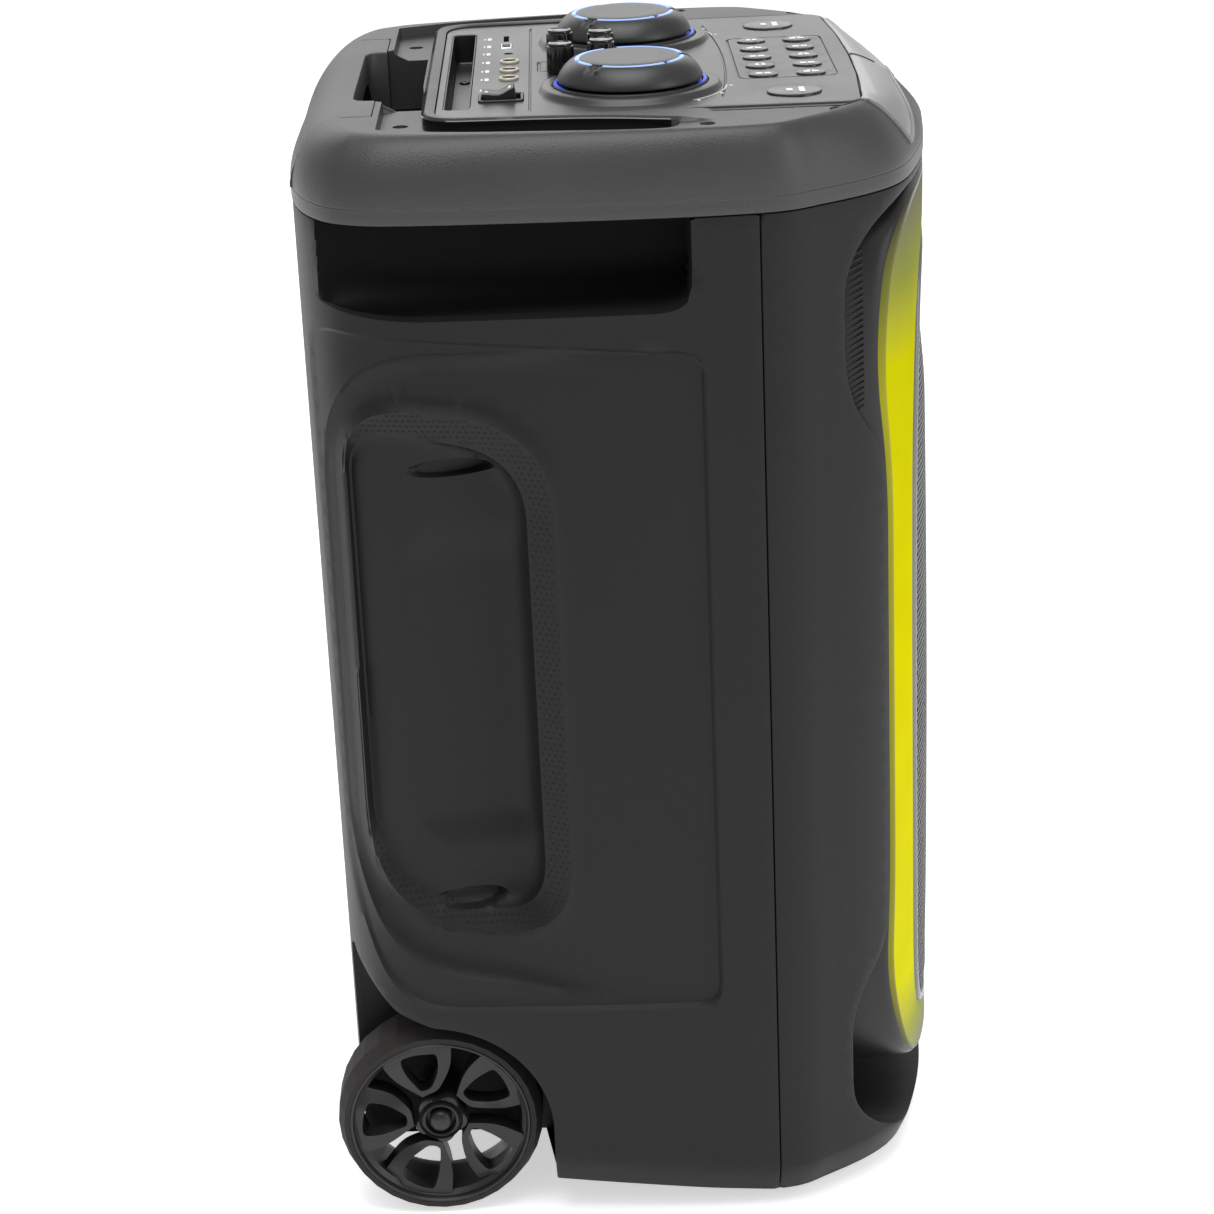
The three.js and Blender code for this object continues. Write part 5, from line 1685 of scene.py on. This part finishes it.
def build_knobs():
    for side in ("left", "right"):
        build_volume_knob(side)
        build_knob_light(side)
    for i in range(1, 5):
        node = "level_knob_%d" % i
        low, high = box_mm(node)
        x, y, r = round_place(node)
        z0, z1 = low[2], high[2]
        profile = [(0, z0 + 0.2)] + shifted([(0, 0.2), (0.2, 0.6)], r, z0)
        profile += shifted([(-0.1, -2.6), (-0.3, -1.9), (-1.0, -1.5), (-0.9, -0.8), (-1.3, 0), (-2.1, 0.1),
                            (-2.6, -0.3)], r, z1)
        profile.append((0, z1 - 0.4))
        v, f = lathe(profile, (x, y, 0), segments=72)
        turn = np.arctan2(v[:, 1] - y, v[:, 0] - x)
        flute = (v[:, 2] < z1 - 2.4) & (v[:, 2] > z0 + 0.5) & (np.cos(18 * turn) > 0)
        v[flute, 0] -= 0.25 * np.cos(turn[flute])
        v[flute, 1] -= 0.25 * np.sin(turn[flute])
        mesh_piece(node + "_body", v, f, node, "gloss_plastic", SMALL_KNOB, (node,), angle=35)
        mesh_piece(node + "_pointer", *mark_slab(x - 0.5, x + 0.5, y + 1.5, y + 6.5, z1), node,
                   "bezel_plastic", WHITE)


KNOB_NOTCHES = (140, -85, 20)
KNOB_ARCS = ((28, 100), (108, 131), (149, 218), (226, 266), (284, 372))


def build_buttons():
    z = PANEL_Z
    for i, (node, (x, y, r)) in enumerate(zip(BUTTON_NODES, BUTTONS)):
        profile = [(0, z - 6), (r, z - 6), (r, z + 0.2), (r - 0.25, z + 0.6), (r - 0.9, z + 0.85),
                   (r - 1.8, z + 0.9), (r - 2.6, z + 0.75), (r * 0.4, z + 0.7), (0, z + 0.7)]
        mesh_piece(node + "_cap", *lathe(profile, (x, y, 0), segments=64), node, "satin_plastic", BUTTON,
                   (node,), angle=35)
        top = z + 0.84
        if i < 2:
            sign = [mark_slab(x - 6.6, x + 6.6, y - 6.0, y - 2.6, top),
                    mark_slab(x - 3.0, x + 3.0, y + 1.0, y + 4.6, top)]
        else:
            wide = 4.4 if i % 3 else 3.2
            sign = [mark_slab(x - 2.4, x + 1.8, y - wide, y - 0.5, top),
                    mark_slab(x - 2.4, x + 1.8, y + 0.5, y + wide, top)]
            if i % 2:
                sign.append(mark_slab(x + 2.9, x + 4.1, y - 2.4, y + 2.4, top))
        mesh_piece(node + "_sign", *join(sign), node, "bezel_plastic", WHITE)


def tilted(y, h, centre_y, centre_z, degrees):
    """A point of the rocker's section, turned about its pivot."""
    a = math.radians(degrees)
    return y * math.cos(a) - h * math.sin(a) + centre_y, y * math.sin(a) + h * math.cos(a) + centre_z


def build_ports():
    z = PANEL_Z
    for node, (x, y, r) in zip(JACK_NODES, JACKS):
        low = box_mm(node)[0][2]
        ring = [(r - 1.3, z - 2), (r, z - 2), (r, z + 0.9), (r - 0.4, z + 1.4), (r - 0.9, z + 1.5),
                (r - 1.3, z + 1.1)]
        mesh_piece(node + "_ring", *lathe(ring, (x, y, 0), segments=56, closed=True), "cabinet",
                   "jack_plastic", CREAM, (node,), angle=35)
        socket = [(2.7, low + 1), (r - 1.4, low + 1), (r - 1.4, z + 0.8), (r - 2.0, z + 0.5), (3.2, z - 0.6),
                  (2.7, z - 2.5)]
        mesh_piece(node + "_socket", *lathe(socket, (x, y, 0), segments=56, closed=True), "cabinet",
                   "satin_plastic", DARK, angle=35)
    outer = box_loop(USB_LOW, USB_HIGH, 0, 0.5, 3)
    rows = [(0, USB_LOW[2] + 1), (0, z + 0.1), (-0.3, z + 0.5), (-1.0, z + 0.5), (-1.1, z - 0.2),
            (-1.1, USB_LOW[2] + 2)]
    v, f = closed_ring([level(offset_loop(outer, g), h) for g, h in rows])
    tongue = slab(round_box(USB_LOW[0] + 3, USB_HIGH[0] - 3, USB_LOW[1] + 3.3, USB_LOW[1] + 5, 0.4, 2), "z",
                  USB_LOW[2] + 3, z - 1.0)
    floor = slab(offset_loop(outer, -0.8), "z", USB_LOW[2] + 1.2, USB_LOW[2] + 2.4)
    mesh_piece("usb_port_shell", *join([(v, f), floor, tongue]), "cabinet", "steel", STEEL, ("usb_port",),
               angle=35)
    build_rocker()


def build_rocker():
    z = PANEL_Z
    frame_loop = box_loop(ROCKER_LOW, ROCKER_HIGH, 0, 1.6, 4)
    rows = [(0, ROCKER_LOW[2] + 1), (0, z + 0.7), (-0.4, z + 1.25), (-1.4, z + 1.3), (-1.9, z + 0.8),
            (-2.0, z - 0.5), (-2.0, ROCKER_LOW[2] + 3)]
    v, f = closed_ring([level(offset_loop(frame_loop, g), h) for g, h in rows])
    floor = slab(offset_loop(frame_loop, -1.8), "z", ROCKER_LOW[2] + 2.2, ROCKER_LOW[2] + 3.2)
    mesh_piece("rocker_frame_moulding", *join([(v, f), floor]), "cabinet", "satin_plastic", SATIN,
               ("rocker_frame",), angle=35)
    low, high = box_mm("rocker_paddle")
    cx, cy, cz = (low + high) / 2
    cz -= 0.45
    top = [(-9.2, 7), (-6.5, 6.4), (-3, 5.2), (0, 4.6), (3, 5.2), (6.5, 6.4), (9.2, 7)]
    outline = [tilted(y, h, cy, cz, -10) for y, h in [(9.2, -3), (4, -7), (-4, -7), (-9.2, -3)] + top]
    verts, faces = slab(outline, "x", low[0], high[0])
    mesh_piece("rocker_paddle_body", verts, faces, "rocker_paddle", "gloss_plastic", ROCKER_BLACK,
               ("rocker_paddle",), angle=30, bevel=0.5)
    sign = []
    for y0, y1, half in ((-7.4, -6.0, 3.2), (6.0, 7.8, 1.6)):
        quad = []
        for y, x in ((y0, cx - half), (y1, cx - half), (y1, cx + half), (y0, cx + half)):
            h = float(np.interp(y, [p[0] for p in top], [p[1] for p in top])) + 0.12
            quad.append((x, *tilted(y, h, cy, cz, -10)))
        quad = np.array(quad)
        sign.append((np.vstack([quad, quad - [0, 0, 0.4]]),
                     [(3, 2, 1, 0), (4, 5, 6, 7), (0, 1, 5, 4), (1, 2, 6, 5),
                                                            (2, 3, 7, 6), (3, 0, 4, 7)]))
    mesh_piece("rocker_paddle_signs", *join(sign), "rocker_paddle", "bezel_plastic", WHITE)


def screw(x, y, z, radius):
    profile = [(0, z - 1.5), (radius, z - 1.5), (radius, z + 0.6), (radius * 0.85, z + 1.1),
               (radius * 0.35, z + 1.2), (radius * 0.3, z + 0.3), (0, z + 0.2)]
    return lathe(profile, (x, y, 0), segments=28)


def build_screws():
    parts = [screw(x, y, (LEDGE_Z if y > 0 else DECK_Z) - 3.5, 3.1) for x, y in SCREWS]
    parts += [screw(sx * 53, PANEL_HIGH[1] - 12, PANEL_Z - 18.4, 3.3) for sx in (-1, 1)]
    mesh_piece("top_cap_screws", *join(parts), "cabinet", "steel", SCREW, angle=35)


# ---- wheels ----
PETAL = [(16, -8), (30, -21, 9), (46, -27, 4), (54, 0, 10), (50, 18, 3), (32, 14, 9), (19, 3, 3)]
PETAL_HOLE = [(20, -8, 2), (34, -14, 9), (47, -15, 3), (48.5, -4, 6), (46, 8, 3), (34, 7, 9), (21, -1, 3)]


def build_wheels():
    for sx, side in ((-1, "left"), (1, "right")):
        body = "wheel_" + side

        def place(v):
            v = np.array(v, float)
            v[:, 0] *= sx
            return v

        def flip(f):
            return [tuple(q[::-1]) for q in f] if sx > 0 else f

        outer_x, r = TYRE_HIGH[0], TYRE_RADIUS
        rim_r, back_x = r - 7.6, TYRE_LOW[0] + 0.5
        barrel = [(rim_r - 3.2, back_x), (rim_r, back_x)]
        barrel += shifted([(0, -0.1), (-0.6, 0.5), (-1.6, 0.4), (-2.4, -0.5), (-2.8, -3.3), (-4.4, -4.9),
                           (-5.4, -5.9)],
                          rim_r, outer_x)
        barrel.append((rim_r - 5.6, back_x + 9))
        barrel = lathe(barrel, (0, WHEEL_Y, WHEEL_Z), "x", 128, closed=True)
        low, high = box_mm("wheel_bolt_" + side)
        bolt_r = (high[2] - low[2]) / 2
        bolt_x = max(abs(low[0]), abs(high[0]))
        hub = shifted([(-4, 1), (5, 1)], bolt_r, back_x)
        hub += shifted([(5, -16), (6, -12), (6, -7.5), (5.3, -5.9), (4.1, -5.3), (3.5, -5.9), (3.1, -7.1),
                        (2.4, -7.3), (2, -6.1), (1.7, -4.1), (0.9, -3.5), (0.1, -3.9), (-0.5, -5.9),
                        (-0.7, -10.5), (-4, -10.5)], bolt_r, bolt_x)
        hub = lathe(hub, (0, WHEEL_Y, WHEEL_Z), "x", 96, closed=True)
        hv = np.array(hub[0])
        rel = hv[:, 1:] - (WHEEL_Y, WHEEL_Z)
        rad, ang = np.hypot(rel[:, 0], rel[:, 1]), np.arctan2(rel[:, 1], rel[:, 0])
        lobed = (rad > bolt_r + 4.4) & (hv[:, 0] > bolt_x - 24)
        lobes = 1 + 0.10 * np.cos(5 * (ang - math.radians(46))) * lobed
        hv[:, 1:] = (WHEEL_Y, WHEEL_Z) + rel * lobes[:, None]
        parts = [barrel, (hv, hub[1])]
        for k in range(5):
            a = math.radians(80 + 72 * k)
            turn = np.array([[math.cos(a), -math.sin(a)], [math.sin(a), math.cos(a)]])
            outer, hole = [resample(rounded(corners), 2.4) for corners in (PETAL, PETAL_HOLE)]
            flat, tris = triangulate([outer, hole], [], lambda c: (distance_inside(c, outer) > 0)
                                     & (distance_inside(c, hole) < 0))
            radius = flat[:, 0]
            edge_d = np.minimum(distance_inside(flat, outer), -distance_inside(flat, hole))
            face_x = bolt_x - 7.5 + 4.6 * ramp(radius, 18, 46) - 0.9 * (edge_d < 0.2)
            face_x -= 4.0 * ramp(flat[:, 1], 2, 16)
            pos = flat @ turn.T
            top = np.column_stack([face_x, WHEEL_Y + pos[:, 0], WHEEL_Z + pos[:, 1]])
            n = len(flat)
            rear = top - [12.5, 0, 0]
            faces = [tuple(t) for t in tris] + [tuple(int(i) + n for i in t[::-1]) for t in tris]
            faces += [(int(j), int(i), int(i) + n, int(j) + n) for i, j in boundary_edges(tris)]
            parts.append((np.vstack([top, rear]), faces))
        v, f = join(parts)
        mesh_piece("wheel_rim_%s_casting" % side, place(v), flip(f), body, "satin_plastic", RIM,
                   ("wheel_rim_" + side,), angle=35, bevel=0.35)
        bolt = [(0, bolt_x - 8.5)]
        bolt += shifted([(-2.6, -8.5), (-2.5, -3.9), (-2.9, -2.7), (-4.1, -1.5), (-6.1, -0.6)], bolt_r,
                        bolt_x)
        bolt += [(1.4, bolt_x - 0.3), (0, bolt_x - 0.25)]
        bolt = lathe(bolt, (0, WHEEL_Y, WHEEL_Z), "x", 48)
        mesh_piece("wheel_bolt_%s_head" % side, place(bolt[0]), flip(bolt[1]), "cabinet", "satin_plastic",
                   RIM, ("wheel_bolt_" + side,), angle=40)


# ---- all of it ----
build_rear_shell()
build_band_dots()
build_front_shell()
build_hollow_floor()
build_ring()
build_grille()
build_cap()
build_grip()
build_front_trim()
build_console()
build_marks()
build_knobs()
build_buttons()
build_ports()
build_screws()
build_wheels()

CARRIED_OVER = {
    "baffle": SATIN, "battery_pack": SATIN, "amplifier_board": BOARD, "wheel_axle": STEEL,
    "power_inlet": SATIN}
for place in ("lower", "upper"):
    CARRIED_OVER["woofer_basket_" + place] = SATIN
    CARRIED_OVER["woofer_cone_" + place] = PAPER
for side in ("left", "right"):
    CARRIED_OVER["handle_sleeve_" + side] = SATIN
    CARRIED_OVER["handle_tube_inner_" + side] = STEEL
    CARRIED_OVER["handle_tube_middle_" + side] = STEEL
    CARRIED_OVER["foot_" + side] = RUBBER
for node, look in CARRIED_OVER.items():
    for slot_ in frame["nodes"][node].material_slots:
        slot_.material = look

# ---- camera ----
CAM_POS = (-1.8054, 0.02365, 1.0209)
YAW, PITCH, ROLL = math.radians(-0.40), math.radians(20.96), math.radians(-2.43)
FOCAL_LENGTH, SENSOR_WIDTH = 89.11, 36


def place_camera():
    fwd = Vector((math.cos(PITCH) * math.cos(YAW), math.cos(PITCH) * math.sin(YAW), -math.sin(PITCH)))
    right = Vector((math.sin(YAW), -math.cos(YAW), 0))
    up = right.cross(fwd)
    r2 = math.cos(ROLL) * right + math.sin(ROLL) * up
    u2 = -math.sin(ROLL) * right + math.cos(ROLL) * up
    data = bpy.data.cameras.new("camera")
    data.lens = FOCAL_LENGTH
    data.sensor_width = SENSOR_WIDTH
    data.clip_start = 0.05
    cam = bpy.data.objects.new("camera", data)
    cam.matrix_world = Matrix(((r2.x, u2.x, -fwd.x, CAM_POS[0]), (r2.y, u2.y, -fwd.y, CAM_POS[1]),
                               (r2.z, u2.z, -fwd.z, CAM_POS[2]), (0, 0, 0, 1)))
    bpy.context.scene.collection.objects.link(cam)
    bpy.context.scene.camera = cam


def area_light(name, position, target, size, power):
    data = bpy.data.lights.new(name, "AREA")
    data.shape = "RECTANGLE"
    data.size, data.size_y = size
    data.energy = power
    light = bpy.data.objects.new(name, data)
    light.location = position
    light.rotation_euler = (Vector(target) - Vector(position)).to_track_quat("-Z", "Y").to_euler()
    bpy.context.scene.collection.objects.link(light)


place_camera()
world = bpy.data.worlds.new("studio")
world.use_nodes = True
world.node_tree.nodes["Background"].inputs[0].default_value = (1, 1, 1, 1)
world.node_tree.nodes["Background"].inputs[1].default_value = 0.5
bpy.context.scene.world = world
area_light("top", (-0.6, 0.1, 2.6), (0, 0, 0.5), (1.8, 1.8), 40)
area_light("front", (-1.4, -2.2, 1.3), (0, 0, 0.4), (1.2, 1.8), 16)
area_light("back", (3.2, 0.2, 2.0), (0, 0, 0.6), (4.0, 2.0), 32)
floor_data = bpy.data.meshes.new("floor")
floor_data.from_pydata([(-20, -20, 0), (20, -20, 0), (20, 20, 0), (-20, 20, 0)], [], [(0, 1, 2, 3)])
floor = bpy.data.objects.new("floor", floor_data)
bpy.context.scene.collection.objects.link(floor)
floor_mat = new_material("floor", (0.93, 0.93, 0.93), 0.8, color_var=0.0, specular=0.1)
floor_mat.node_tree.nodes["Principled BSDF"].inputs["Emission Color"].default_value = (1, 1, 1, 1)
floor_mat.node_tree.nodes["Principled BSDF"].inputs["Emission Strength"].default_value = 0.55
floor_data.materials.append(floor_mat)
bpy.context.scene.view_settings.view_transform = "Standard"
